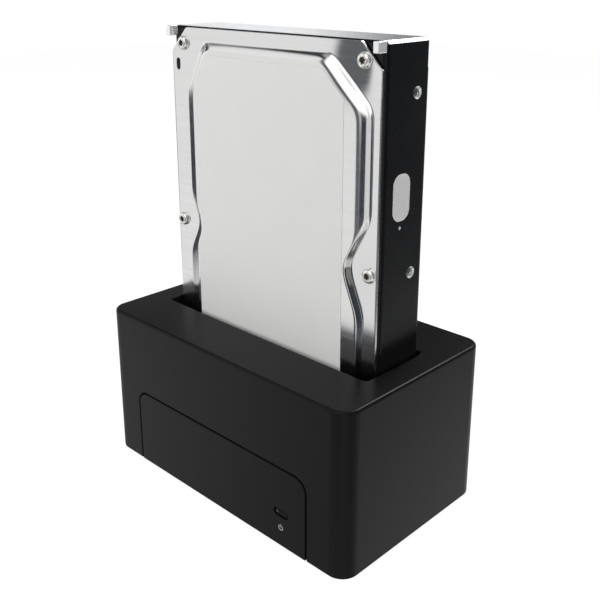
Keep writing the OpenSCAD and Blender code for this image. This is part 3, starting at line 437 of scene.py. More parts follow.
# Metal with the fine lines of rolling, drawing or machining: they change its colour and gloss a little
lines, given, wanted = node_group("metal_lines", (
    ("Position", "Vector", None), ("Colour", "Color", white), ("Roughness", "Float", 0.3),
    ("Lines per metre", "Vector", (300, 300, 300)), ("Contrast", "Float", 0.1)),
    (("Colour", "Color"), ("Roughness", "Float")))
do = partial(calc, lines)
drawn = vector(lines, "MULTIPLY", given["Position"], given["Lines per metre"])
swing = do("MULTIPLY", do("SUBTRACT", noise(lines, drawn, 1.0, 4.0), 0.5), given["Contrast"])
toned = put(lines, "ShaderNodeHueSaturation", {
    "Value": do("MULTIPLY_ADD", swing, 1.2, 1.0), "Color": given["Colour"]})
lines.links.new(toned.outputs[0], wanted["Colour"])
lines.links.new(do("ADD", swing, given["Roughness"]), wanted["Roughness"])


def metal(name, colour, rough, per_metre=(500, 500, 500), contrast=0.12, **constants):
    made, tree, shader, spot = material_nodes(name, **{"Metallic": 1, **constants})
    skin = placed(tree, lines, spot, colour, rough, per_metre, contrast)
    coloured(tree, shader, skin["Colour"], skin["Roughness"])
    return made


foot_rubber = moulded("foot_rubber", (0.018, 0.018, 0.018, 1), 0.75, 3500.0, Specular_IOR_Level=0.25)
screw_steel = metal("screw_steel", (0.62, 0.62, 0.61, 1), 0.26, (2500, 2500, 2500))
foot_outline = [(0, 0.06, 0), (0.62, 0.06, 0), (0.7, 0, 0), (0.9, 0, 0), (0.97, 0.05, 0), (1, 0.16, 0),
                (1, 0.97, 0), (0.97, 1, 0), (0, 1, 0)]
turned_set("rubber_feet", foot_outline, up, 0.0, 3, foot_rubber, "dock", "foot_rubber")
screw_set("base_screws", dock_head, dock_shank, down, dock_lobes, 11, screw_steel, "dock", "screw_steel")

# Main board and its parts
# A green glass laminate board stands on the base plate's posts. Its parts are soldered on: the chips, the
# coil and the capacitors of the power supply, the clock crystal, and the push switch behind the button.
board_green = (0.012, 0.075, 0.035, 1)


def mixed(tree, share, first, second, kind="RGBA"):
    """Blend of two colours, or of two plain numbers."""
    a, b, out = (6, 7, 2) if kind == "RGBA" else (2, 3, 0)
    return put(tree, "ShaderNodeMix", {0: share, a: first, b: second}, data_type=kind).outputs[out]


def laminate(name, colour):
    """Lacquered board: pale copper tracks show through the lacquer along a fine grid."""
    made, tree, shader, spot = material_nodes(name, Specular_IOR_Level=0.5)
    skin = placed(tree, grain, spot, colour, 0.34, 900.0, 0.25)
    cells = put(tree, "ShaderNodeTexVoronoi", {"Vector": spot, "Scale": 380.0}, distance="MANHATTAN")
    track = ramp(tree, cells.outputs["Distance"], 0.62, 0.72)
    pale = tuple(min(1, 1.7*c) for c in colour[:3]) + (1,)
    coloured(tree, shader, mixed(tree, track, skin["Colour"], pale), skin["Roughness"])
    return made


chip_plastic = moulded("chip_plastic", (0.02, 0.02, 0.021, 1), 0.55, 5000.0)
can_aluminium = metal("can_aluminium", (0.7, 0.7, 0.7, 1), 0.3, (200, 200, 4000))
clear_lens = moulded("clear_lens", (0.8, 0.87, 0.95, 1), 0.12, 600.0, 0.002, Transmission_Weight=0.6)
dress(laminate("board_laminate", board_green), "main_board")
dress(chip_plastic, "bridge_chip", "regulator_chip", "power_inductor", "tact_switch")
dress(can_aluminium, "filter_capacitors", "clock_crystal")
dress(clear_lens, "status_led")
dress(moulded("plunger_plastic", (0.72, 0.68, 0.58, 1), 0.5), "switch_plunger")
screw_set("board_screws", dock_head, dock_shank, up, dock_lobes, 12, screw_steel, "dock", "screw_steel")

# Ports in the rear wall and the drive's connector
# A folded steel shell holds the blue insulator of the data port, and a moulded block holds the pin of the
# power inlet. The connector for the drive stands up from the board, with sprung gold contacts in its slots.
port_steel = metal("port_steel", (0.66, 0.65, 0.63, 1), 0.28, (120, 3500, 120))
contact_gold = metal("contact_gold", (0.83, 0.62, 0.25, 1), 0.22, (3000, 3000, 3000))
connector_plastic = moulded("connector_plastic", (0.016, 0.016, 0.017, 1), 0.42, 4000.0)
dress(port_steel, "usb_shell", "inlet_pin")
dress(moulded("port_blue", (0.012, 0.06, 0.42, 1), 0.38, 3000.0), "usb_tongue")
dress(contact_gold, "usb_contacts", "sata_contacts")
dress(connector_plastic, "power_inlet", "sata_receptacle")

# Drive well
# A moulded box of the shell's black plastic below the slot, which guides the drive down to the connector.
# Its four ears hang from the roof, each by a screw from below.
well_plastic = moulded("well_plastic", (0.006, 0.006, 0.006, 1), 0.6, Specular_IOR_Level=0.2)
dress(well_plastic, "drive_well")
screw_set("well_screws", dock_head, dock_shank, down, dock_lobes, 13, screw_steel, "dock", "screw_steel")

# Top shell
# One injection moulding of satin black plastic with rounded corners, a softened upper edge and the slot for
# the drive in its roof. The front is cut out for the panel, and the rear wall for the two ports.
shell_low, shell_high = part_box("top_shell")
corner_r = 6.5*mm
edge_r = 1*mm
wall = 2.4*mm
roof = 2.6*mm
slot_half = 52*mm
slot_front = -15.6*mm
slot_rear = 15*mm
slot_r = 1.5*mm
slot_edge = 0.6*mm
low_edge = 0.3*mm
corner_steps = 14
flat_band = 0.25*mm
panel_half = 45.3*mm
panel_top = 31*mm
panel_r = 4.8*mm
groove = 0.5*mm
groove_edge = 0.3*mm
port_fit = 0.3*mm
inlet_r = 0.4*mm
past = 1*mm


def arc(x, y, r, start, end, steps):
    """Points of a round, from one angle to the other in degrees."""
    turns = [math.radians(start + (end - start)*i/steps) for i in range(steps + 1)]
    return [(x + r*math.cos(t), y + r*math.sin(t)) for t in turns]


def round_box(x0, y0, x1, y1, r, steps):
    """Rectangle with rounded corners, with extra points where each round meets its sides."""
    band = min(flat_band, (x1 - x0)/2 - r, (y1 - y0)/2 - r)
    points = []
    for x, y, start in (
            (x1 - r, y1 - r, 0), (x0 + r, y1 - r, 90), (x0 + r, y0 + r, 180), (x1 - r, y0 + r, 270)):
        bend = arc(x, y, r, start, start + 90, steps)
        c = band*math.cos(math.radians(start))
        s = band*math.sin(math.radians(start))
        points += [(bend[0][0] + s, bend[0][1] - c)] + bend + [(bend[-1][0] - c, bend[-1][1] - s)]
    return points


def boxed(x0, y0, x1, y1, r, steps=corner_steps, bend=1):
    """Outline of a rounded box for any growth; its rounds grow with it, unless bend is 0."""
    return lambda grow: round_box(x0 - grow, y0 - grow, x1 + grow, y1 + grow, r + bend*grow, steps)


def strip(bm, low, high):
    """Band of faces between two rings."""
    count = len(low)
    for i in range(count):
        bm.faces.new((low[i], low[(i + 1) % count], high[(i + 1) % count], high[i]))


def loft(rings, closed=False, bm=None):
    """Skin over rings of equal counts; its ends are capped, or joined to each other where it is closed."""
    bm = bm or bmesh.new()
    rows = [[bm.verts.new(p) for p in ring] for ring in rings]
    for low, high in zip(rows, rows[1:] + (rows[:1] if closed else [])):
        strip(bm, low, high)
    if not closed:
        bm.faces.new(rows[0][::-1])
        bm.faces.new(rows[-1])
    bmesh.ops.recalc_face_normals(bm, faces=bm.faces)
    return bm


def along(axis, points, t):
    """Points of a flat outline, at t along an axis of the dock."""
    at = "xyz".index(axis)
    return [(*p[:at], t, *p[at:]) for p in points]


def drawn_block(axis, outline, steps, bm=None):
    """Solid drawn along an axis; outline gives its points for a growth, and a step is (growth, place)."""
    return loft([along(axis, outline(grow), t) for grow, t in steps], bm=bm)


def carve(bm, *cutters):
    """The solid less each cutter, by exact Boolean."""
    bodies = []
    for shape in (bm,) + cutters:
        bmesh.ops.recalc_face_normals(shape, faces=shape.faces)
        mesh = bpy.data.meshes.new("carved")
        shape.to_mesh(mesh)
        shape.free()
        bodies.append(bpy.data.objects.new("carved", mesh))
        scene.collection.objects.link(bodies[-1])
    for body in bodies[1:]:
        tool = bodies[0].modifiers.new("cut", "BOOLEAN")
        tool.operation = "DIFFERENCE"
        tool.solver = "EXACT"
        tool.object = body
    left = bmesh.new()
    left.from_object(bodies[0], bpy.context.evaluated_depsgraph_get())
    for body in bodies:
        mesh = body.data
        bpy.data.objects.remove(body)
        bpy.data.meshes.remove(mesh)
    bmesh.ops.remove_doubles(left, verts=left.verts, dist=1e-7)
    return left


def piece(name, bm, finish, body, slot, *nodes, sharp=35):
    """Makes a piece from its mesh and hands it over."""
    mesh = bpy.data.meshes.new(name)
    bm.to_mesh(mesh)
    bm.free()
    mesh.materials.append(finish)
    obj = bpy.data.objects.new(name, mesh)
    scene.collection.objects.link(obj)
    settle(obj, body, nodes, sharp)


def quarter(r, steps):
    """Steps of a quarter round of radius r: (away from the wall, up from its start)."""
    turns = [math.pi/2*i/steps for i in range(steps + 1)]
    return [(r - r*math.cos(t), r*math.sin(t)) for t in turns]


def lower_edge(z, r):
    """Steps of a rounded lower edge, from its underside at z up to the upright wall."""
    return [(-out, z + r - rise) for out, rise in quarter(r, 4)[::-1]] + [(0, z + r + flat_band)]


def panel_outline(grow, low):
    """Front panel's outline: square at the bottom, rounded at its two upper corners."""
    half = panel_half + grow
    top = panel_top + grow
    r = panel_r + grow
    left = arc(-half + r, top - r, r, 180, 90, corner_steps)
    right = arc(half - r, top - r, r, 90, 0, corner_steps)
    return [(-half, low), (-half, top - r - flat_band)] + left + [(0, top)] + right \
        + [(half, top - r - flat_band), (half, low)]


top_z = shell_high.z
front_y = shell_low.y
rear_y = shell_high.y
lap_y = front_y + wall
shell_outline = boxed(shell_low.x, front_y, shell_high.x, rear_y, corner_r)
slot_outline = boxed(-slot_half, slot_front, slot_half, slot_rear, slot_r)
shell_steps = [(-wall, shell_low.z)] + lower_edge(shell_low.z, low_edge)
shell_steps += [(0, top_z - edge_r - flat_band)]
shell_steps += [(-out, top_z - edge_r + rise) for out, rise in quarter(edge_r, 8)]
shell_steps += [(-edge_r - flat_band, top_z)]
slot_steps = [(slot_edge + flat_band, top_z)]
slot_steps += [(out, top_z - slot_edge + rise) for out, rise in quarter(slot_edge, 5)[::-1]]
slot_steps += [(0, top_z - slot_edge - flat_band), (0, top_z - roof)]
rings = [along("z", shell_outline(grow), z) for grow, z in shell_steps]
rings += [along("z", slot_outline(grow), z) for grow, z in slot_steps]
rings += [along("z", shell_outline(-wall), top_z - roof)]
panel_cut = drawn_block("y", lambda grow: panel_outline(groove + grow, shell_low.z - past), (
    (groove_edge + past, front_y - past), (groove_edge, front_y), (0, front_y + groove_edge),
    (0, lap_y + past)))
usb_low, usb_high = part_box("usb_shell")
usb_step = 10*mm
usb_top_half = 4.7*mm
usb_mid = (usb_low.x + usb_high.x)/2


def usb_outline(grow):
    """The data port's own outline: a box with a narrower step on top."""
    low = usb_low.z - grow
    side = usb_low.z + usb_step + grow
    right = usb_high.x + grow
    left = usb_low.x - grow
    neck = usb_top_half + grow
    top = usb_high.z + grow
    return [(left, low), (right, low), (right, side), (usb_mid + neck, side), (usb_mid + neck, top),
            (usb_mid - neck, top), (usb_mid - neck, side), (left, side)]


inlet_low, inlet_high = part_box("power_inlet")
inlet_outline = boxed(inlet_low.x, inlet_low.z, inlet_high.x, inlet_high.z, inlet_r, 4, 0)
through = ((port_fit, rear_y - wall - past), (port_fit, rear_y + past))
port_cuts = [drawn_block("y", outline, through) for outline in (usb_outline, inlet_outline)]
shell = carve(loft(rings, closed=True), panel_cut, *port_cuts)
piece("top_shell", shell, shell_plastic, "dock", "shell_plastic", "top_shell")

# Front panel
# A flush moulded panel in the front wall, set off by a narrow groove, with a lip behind the shell's edge.
# It has an obround hole for the button, and a power symbol is printed in white below it.
panel_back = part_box("front_panel")[1].y
panel_edge = 0.25*mm
panel_set = 0.03*mm
panel_lip = 3*mm
base_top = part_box("base_plate")[0].z + 2.2*mm
button_low, button_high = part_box("button_cap")
button_w = 6.4*mm
button_h = 2.6*mm
button_fit = 0.2*mm
button_x = (button_low.x + button_high.x)/2
button_z = (button_low.z + button_high.z)/2
hole_edge = 0.15*mm
icon_z = 8.2*mm
icon_r = 1.1*mm
icon_line = 0.36*mm
icon_gap = 34
icon_t = 0.02*mm
bar_low = 0.1*mm
bar_past = 0.2*mm
bar_r = 0.05*mm


def button_outline(grow):
    """Level long round of the button and its hole."""
    r = button_h/2 + grow
    half = (button_w - button_h)/2
    return arc(button_x + half, button_z, r, -90, 90, 12) + arc(button_x - half, button_z, r, 90, 270, 12)


face_y = front_y + panel_set
panel_steps = (
    (-panel_edge - flat_band, 0), (-panel_edge, 0), (-0.3*panel_edge, 0.3*panel_edge), (0, panel_edge))
panel_rings = [along("y", panel_outline(grow, shell_low.z), face_y + deep) for grow, deep in panel_steps]
panel_rings.append(along("y", panel_outline(0, shell_low.z), lap_y))
panel_rings += [along("y", panel_outline(groove + panel_lip, base_top), y) for y in (lap_y, panel_back)]
button_hole = drawn_block("y", button_outline, (
    (button_fit + past + hole_edge, face_y - past), (button_fit + hole_edge, face_y),
    (button_fit, face_y + hole_edge), (button_fit, panel_back + past)))
panel_plastic = moulded("panel_plastic", (0.0058, 0.0056, 0.0056, 1), 0.36, Specular_IOR_Level=0.11)
panel = carve(loft(panel_rings), button_hole)
piece("front_panel", panel, panel_plastic, "dock", "panel_plastic", "front_panel")

print_white = moulded("print_white", (0.36, 0.36, 0.36, 1), 0.5, 4000.0, 0.004)
sides = ((0, face_y), (0, face_y - icon_t))
ends = (90 + icon_gap, 450 - icon_gap)
icon_ring = arc(button_x, icon_z, icon_r, *ends, 30)
icon_ring += arc(button_x, icon_z, icon_r - icon_line, *ends[::-1], 30)
icon_bar = boxed(button_x - icon_line/2, icon_z + bar_low, button_x + icon_line/2,
                 icon_z + icon_r + bar_past, bar_r, 3)
symbol = drawn_block("y", lambda grow: icon_ring, sides)
drawn_block("y", icon_bar, sides, symbol)
piece("power_symbol", symbol, print_white, "dock", "label_film")

# Power button
# A moulded obround cap with a soft crown, which slides in the panel's hole. A collar behind the panel holds
# it in, its stem meets the switch, and a smoky light guide is pressed into its left end.
button_y = button_low.y
lens_low, lens_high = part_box("button_lens")
lens_x = (lens_low.x + lens_high.x)/2
lens_r = (lens_high.x - lens_low.x)/2
cap_steps = ((-0.95, 0), (-0.6, 0.03), (-0.3, 0.09), (-0.12, 0.18), (-0.03, 0.3), (0, 0.45))
collar_lap = 1*mm
collar_t = 0.8*mm
stem_half = (1.1*mm, 0.6*mm)
stem_r = 0.2*mm


def circle(x, y, r):
    return arc(x, y, r, 0, 345, 23)


cap = [(grow*mm, button_y + deep*mm) for grow, deep in cap_steps]
cap += [(0, panel_back), (collar_lap, panel_back), (collar_lap, panel_back + collar_t)]
lens_hole = drawn_block("y", lambda grow: circle(lens_x, button_z, lens_r),
                        ((0, button_y - past), (0, lens_high.y)))
button = carve(drawn_block("y", button_outline, cap), lens_hole)
stem = boxed(button_x - stem_half[0], button_z - stem_half[1], button_x + stem_half[0],
             button_z + stem_half[1], stem_r, 3)
drawn_block("y", stem, ((0, panel_back + collar_t), (0, button_high.y)), button)
# The cap is darker than the panel: partly its own black plastic, partly painted shade of the recess it sits
# in.
button_plastic = moulded("button_plastic", (0.002, 0.002, 0.002, 1), 0.5, 5000.0, 0.006,
                         Specular_IOR_Level=0.15)
piece("button_cap", button, button_plastic, "power_button", "button_plastic", "button_cap")
dress(moulded("smoke_lens", (0.05, 0.054, 0.06, 1), 0.2, 600.0, 0.002), "button_lens")

# Drive casting
# The drive's base, cast in aluminium and coated black. Its far end and its two lugs are machined bare, and so
# are the mouths of the tapped holes. The side holes' bare colour runs down into them, partly real bare thread
# and partly a painted highlight of their lit insides, and the dimple in the right side is painted bare as a
# painted highlight. A cavity in its front takes the discs, a recess at the back the board.
drive_low, drive_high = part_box("drive_casting")
rim_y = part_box("cover_gasket")[1].y
cast_r = 1.6*mm
cast_edge = 0.4*mm
end_edge = 1.1*mm
cavity_back = drive_high.y - 6.5*mm
recess_y = drive_high.y - 4.5*mm
recess_fit = 0.4*mm
disc_room = 0.7*mm
arm_room = 0.6*mm
arm_reach = 20*mm
plug_fit = 0.2*mm
motor_fit = 0.06*mm
rear_step = 1.3*mm
rear_step_z = drive_high.z - 9.5*mm
hole_r = 1.5*mm
hole_mouth = 0.5*mm
hole_painted_lit_depth = 2.6*mm
thread_depth = 0.16*mm
thread_pitch = 0.794*mm
side_hole_depth = 5.5*mm
side_hole_y = drive_high.y - 6.35*mm
side_hole_up = (28.5*mm, 70.11*mm, 130.1*mm)
back_hole_depth = 4.5*mm
back_hole_x = drive_high.x - 3.175*mm
back_hole_up = (41.28*mm, 85.73*mm)
lug_w = 2.4*mm
lug_h = 3.6*mm
lug_edge = 0.3*mm
lug_band = 0.1*mm
lug_r = 0.4*mm
dimple_up = 87*mm
dimple_y = drive_low.y + 13*mm
dimple_r = 0.5*mm
post_r = 3*mm
coat_fade = 0.1*mm
coat_grain = 0.015*mm
coat_bump = 0.3
bare_metallic = 0.6


def box_cut(low, high):
    """Plain block for cutting, from one corner to the other."""
    flat = [(low[0], low[1]), (high[0], low[1]), (high[0], high[1]), (low[0], high[1])]
    return drawn_block("z", lambda grow: flat, ((0, low[2]), (0, high[2])))


def round_cut(axis, u, v, r, steps, bm=None):
    return drawn_block(axis, lambda grow: circle(u, v, r + grow), steps, bm)


def tapped(face, way, depth):
    """Steps of a tapped hole from its bottom to past its mouth; way points out of the mouth."""
    bottom = face - way*depth
    steps = [(0, bottom)]
    for i in range(int((depth - hole_mouth)/thread_pitch)):
        steps.append((0, bottom + way*thread_pitch*(i + 0.35)))
        steps.append((thread_depth, bottom + way*thread_pitch*(i + 0.75)))
    return steps + [(0, face - way*hole_mouth), (hole_mouth, face), (hole_mouth + past, face + way*past)]


cast_steps = [(-cast_edge - flat_band, drive_low.z)] + lower_edge(drive_low.z, cast_edge)
cast_steps += [(0, drive_high.z - end_edge - flat_band)]
cast_steps += [(-share*end_edge, drive_high.z - (1 - share)*end_edge) for share in (0, 0.15, 0.85, 1)]
cast_steps += [(-end_edge - flat_band, drive_high.z)]
cast = drawn_block("z", boxed(drive_low.x, rim_y, drive_high.x, drive_high.y, cast_r, 6), cast_steps)
disc_low, disc_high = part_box("discs")
spindle_z = (disc_low.z + disc_high.z)/2
disc_r = (disc_high.x - disc_low.x)/2
motor_low, motor_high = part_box("spindle_motor")
motor_r = (motor_high.x - motor_low.x)/2
pcb_low, pcb_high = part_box("drive_board")
plug_low, plug_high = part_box("drive_plug")
arm_boxes = [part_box(n) for n in ("actuator_arm", "voice_coil", "magnet_yokes", "pivot_post")]
arm_low = [min(b[0][i] for b in arm_boxes) - arm_room for i in range(3)]
arm_high = max(b[1].x for b in arm_boxes) + arm_room
front = rim_y - past
back = drive_high.y + past
under = drive_low.z - past
cuts = [
    round_cut("y", 0, spindle_z, disc_r + disc_room, ((0, front), (0, cavity_back))),
    box_cut((arm_low[0], front, arm_low[2]), (arm_high, cavity_back, disc_low.z + arm_reach)),
    box_cut((pcb_low.x - recess_fit, recess_y, under),
            (pcb_high.x + recess_fit, back, pcb_high.z + recess_fit)),
    box_cut((plug_low.x - plug_fit, plug_low.y - plug_fit, under),
            (plug_high.x + plug_fit, back, plug_high.z)),
    round_cut("y", 0, spindle_z, motor_r + motor_fit, ((0, cavity_back - past), (0, back))),
    box_cut((drive_low.x - past, drive_high.y - rear_step, rear_step_z),
            (drive_high.x + past, back, drive_high.z + past))]
for up_z in side_hole_up:
    for face, side in ((drive_high.x, 1), (drive_low.x, -1)):
        steps = tapped(face, side, side_hole_depth)
        cuts.append(round_cut("x", side_hole_y, drive_low.z + up_z, hole_r, steps))
for up_z in back_hole_up:
    for side in (-1, 1):
        steps = tapped(drive_high.y, 1, back_hole_depth)
        cuts.append(round_cut("y", side*back_hole_x, drive_low.z + up_z, hole_r, steps))
dimple_steps = ((0, drive_high.x - dimple_r), (0, drive_high.x + past))
cuts.append(round_cut("x", dimple_y, drive_low.z + dimple_up, dimple_r, dimple_steps))
cast = carve(cast, *cuts)
lug_steps = ((-lug_edge - lug_band, 0), (-lug_edge, 0), (-0.3*lug_edge, 0.3*lug_edge), (0, lug_edge),
             (0, rim_y - drive_low.y))
for side in (-1, 1):
    x0, x1 = sorted((side*drive_high.x, side*(drive_high.x - lug_w)))
    lug = boxed(x0, drive_high.z - lug_h, x1, drive_high.z, lug_r, 4, 0)
    drawn_block("y", lug, [(grow, drive_low.y + deep) for grow, deep in lug_steps], cast)
for spot in middles("drive_board_screws", 1, 0):
    round_cut("y", spot.x, spot.z, post_r, ((0, recess_y), (0, pcb_low.y)), cast)

casting_black, tree, shader, spot = material_nodes("casting_black", Specular_IOR_Level=0.25)
do = partial(calc, tree)
coat = placed(tree, grain, spot, (0.0045, 0.0047, 0.005, 1), 0.27, 1700.0, 0.25)
bare = placed(tree, lines, spot, (0.88, 0.89, 0.9, 1), 0.22, (500, 60, 500), 0.1)
place = put(tree, "ShaderNodeSeparateXYZ", {0: spot}).outputs
bare_z = drive_high.z - end_edge
bare_y = rim_y + end_edge
end_bare = do("MULTIPLY", ramp(tree, place["Z"], bare_z - coat_fade, bare_z + coat_fade),
              ramp(tree, place["Y"], bare_y - 2*coat_fade, bare_y + coat_fade))
machined = do("MAXIMUM", end_bare, ramp(tree, place["Y"], rim_y - coat_fade, rim_y - 3*coat_fade))
# Side holes and the dimple take the bare colour this deep: partly real bare metal, partly painted highlight
at_side = ramp(tree, do("ABSOLUTE", place["X"]), drive_high.x - hole_painted_lit_depth, drive_high.x - hole_mouth)
mouths = [(side_hole_y, drive_low.z + up_z, hole_r + hole_mouth) for up_z in side_hole_up]
# The dimple's bare spot is a painted highlight
for y, z, r in mouths + [(dimple_y, drive_low.z + dimple_up, dimple_r)]:
    flat = vector(tree, "MULTIPLY", vector(tree, "SUBTRACT", spot, (0, y, z)), (0, 1, 1))
    far = vector(tree, "LENGTH", flat).outputs["Value"]
    machined = do("MAXIMUM", machined, do("MULTIPLY", ramp(tree, far, r + 0.8*coat_fade, r), at_side))
coloured(tree, shader, mixed(tree, machined, coat["Colour"], bare["Colour"]),
         mixed(tree, machined, coat["Roughness"], bare["Roughness"], "FLOAT"))
tree.links.new(do("MULTIPLY", machined, bare_metallic), shader.inputs["Metallic"])
bumpy(tree, shader, coat["Height"], coat_grain, coat_bump)
piece("drive_casting", cast, casting_black, "drive", "casting_black", "drive_casting", sharp=30)

# Discs and actuator
# Mirror discs on a turned motor, whose stepped back shows behind the casting, with spacer rings and a clamp,
# and the arm with its coil between the magnet's steel yokes. The rest of it is sealed under the cover.
disc_mirror = metal("disc_mirror", (0.8, 0.8, 0.82, 1), 0.06, (60, 60, 60), 0.04)
machined_alloy = metal("machined_alloy", (0.68, 0.69, 0.71, 1), 0.3, (2600, 300, 2600), 0.2)
coil_copper = metal("coil_copper", (0.72, 0.34, 0.18, 1), 0.35, (4000, 4000, 4000), 0.25)
yoke_nickel = metal("yoke_nickel", (0.6, 0.58, 0.53, 1), 0.25, (300, 300, 300))
dress(disc_mirror, "discs")
dress(machined_alloy, "spindle_hub", "disc_spacers", "disc_clamp", "pivot_post", "actuator_arm")
dress(yoke_nickel, "magnet_yokes")
dress(coil_copper, "voice_coil")
motor_t = motor_high.y - motor_low.y
motor_deep = motor_t/mm
# Radius and depth of the motor's steps in millimetres, from the middle of its back
motor_steps = (
    (0, 0.35), (1.6, 0.35), (1.9, 0.1), (4.2, 0.1), (4.6, 0.45), (9.6, 0.45), (10, 0.08), (10.4, 0),
    (13.3, 0), (13.4, 0.12), (13.6, 0.12), (13.7, 0), (14.75, 0), (15, 0.25), (15, 1), (13, 1),
    (13, motor_deep), (2.05, motor_deep), (2.05, 1), (0, 1))
motor_outline = [(r*mm/motor_r, 1 - deep*mm/motor_t, 0) for r, deep in motor_steps]
turn_on("spindle_motor", motor_outline, [(0, motor_low.y, spindle_z)],
        {"Radius": motor_r, "Height": motor_t, "Axis": (0, 1, 0), "Seed": 51}, machined_alloy, "drive",
        "screw_steel", "spindle_motor")

# Cover and gasket
# A sheet of bright steel pressed into a raised plateau with soft slopes and two notches, laid on a thin black
# rubber gasket. The rolling lines run across the drive, and a long vent hole is pierced near its left edge.
cover_low, cover_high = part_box("drive_cover")
sheet_t = 0.8*mm
cover_edge = 0.18*mm
flange_y = cover_high.y - sheet_t
plateau_h = flange_y - cover_low.y
cover_corner = 8.4*mm
cover_bend = 0.8*mm
foot_left = cover_low.x + 8.2*mm
foot_low_left = cover_low.x + 6.5*mm
foot_right = cover_high.x - 2.6*mm
foot_low_right = cover_high.x - 5.3*mm
foot_top = drive_high.z - 4.3*mm
foot_low = drive_low.z + 6*mm
side_slope = 6.1*mm
end_slope = 4.1*mm
cut_slope = 5.1*mm
left_notch_slope = 4.4*mm
right_notch_slope = 1.6*mm
low_right_slope = 2.2*mm
right_cut = (17.5*mm, 16.3*mm)
left_cut = (9.6*mm, 19.2*mm)
low_cut = 8*mm
notch_z = drive_low.z + 73*mm
notch_flat = 2*mm
right_notch = (8.5*mm, 18*mm, 16*mm)
left_notch = (3.8*mm, 11*mm, 12.5*mm)
vent = (cover_low.x + 3.2*mm, drive_high.z - 14*mm)
vent_size = (2*mm, 4.4*mm)
slope_steps = 24
slope_band = 0.4*mm
bend_r = 3.6*mm
foot_bend = 0.28
crown_power = 1.6
left_blend = 28*mm
plateau_foot = [Vector(p) for p in (
    (foot_low_left + low_cut, foot_low), (foot_low_left, foot_low + low_cut),
    (foot_low_left, notch_z - left_notch[2]), (foot_left + left_notch[0], notch_z - notch_flat),
    (foot_left + left_notch[0], notch_z + notch_flat), (foot_left, notch_z + left_notch[1]),
    (foot_left, foot_top - left_cut[1]), (foot_left + left_cut[0], foot_top),
    (foot_right - right_cut[0], foot_top), (foot_right, foot_top - right_cut[1]),
    (foot_right, notch_z + right_notch[1]), (foot_right - right_notch[0], notch_z + notch_flat),
    (foot_right - right_notch[0], notch_z - notch_flat), (foot_low_right, notch_z - right_notch[2]),
    (foot_low_right, foot_low + low_cut), (foot_low_right - low_cut, foot_low))]
slope_widths = [cut_slope, side_slope + foot_left - foot_low_left] + [left_notch_slope]*3
slope_widths += [side_slope, cut_slope, end_slope, cut_slope, side_slope]
slope_widths += [right_notch_slope]*3 + [low_right_slope, cut_slope, end_slope]


def plateau(share, more):
    """Plateau's outline at this share of the way up its slope, with each edge drawn in by more."""
    widths = [share*w + more for w in slope_widths]
    out = []
    for i, here in enumerate(plateau_foot):
        u = here - plateau_foot[i - 1]
        v = plateau_foot[(i + 1) % len(plateau_foot)] - here
        a = Vector((u.y, -u.x)).normalized()
        b = Vector((v.y, -v.x)).normalized()
        shift = Vector((widths[i - 1]*b.y - widths[i]*a.y, widths[i]*a.x - widths[i - 1]*b.x))
        out.append(here + shift/(a.x*b.y - a.y*b.x))
    return rounded(out, bend_r)


def slope_heights(crown):
    """Heights up the pressed slope: a tight bend at its foot, then a round crown or a straight and a bend."""
    climb = []
    for i in range(slope_steps):
        t = (i + 0.5)/slope_steps
        bend = min(t/foot_bend, 1 if crown else (1 - t)/foot_bend, 1)
        climb.append(bend*bend*(3 - 2*bend)*((1 - t)**crown_power if crown else 1))
    return [plateau_h*sum(climb[:i + 1])/sum(climb) for i in range(slope_steps)]


def rounded(points, reach, steps=7):
    """Outline with each corner drawn as a bend that starts up to reach before it."""
    out = []
    count = len(points)
    for i in range(count):
        before, here, after = (Vector(points[(i + j) % count]) for j in (-1, 0, 1))
        start = here + (before - here).normalized()*min(reach, 0.49*(before - here).length)
        stop = here + (after - here).normalized()*min(reach, 0.49*(after - here).length)
        for j in range(steps + 1):
            t = j/steps
            out.append(tuple(start*(1 - t)**2 + here*2*t*(1 - t) + stop*t*t))
    return out


def cover_outline(inset):
    x = cover_high.x - inset
    low = cover_low.z + inset
    top = cover_high.z - inset
    cut_x = cover_high.x - cover_corner
    cut_z = cover_high.z - cover_corner
    return rounded([(-x, low), (x, low), (x, cut_z), (cut_x, top), (-cut_x, top), (-x, cut_z)], cover_bend, 4)


def vent_outline(grow):
    r = vent_size[0]/2 + grow
    half = (vent_size[1] - vent_size[0])/2
    return arc(vent[0], vent[1] + half, r, 0, 180, 10) + arc(vent[0], vent[1] - half, r, 180, 360, 10)


def inside(spot, outline):
    """Is a flat point inside an outline?"""
    x, y = spot
    hit = False
    for (x0, y0), (x1, y1) in zip(outline, outline[1:] + outline[:1]):
        if (y0 > y) != (y1 > y) and x < x0 + (x1 - x0)*(y - y0)/(y1 - y0):
            hit = not hit
    return hit


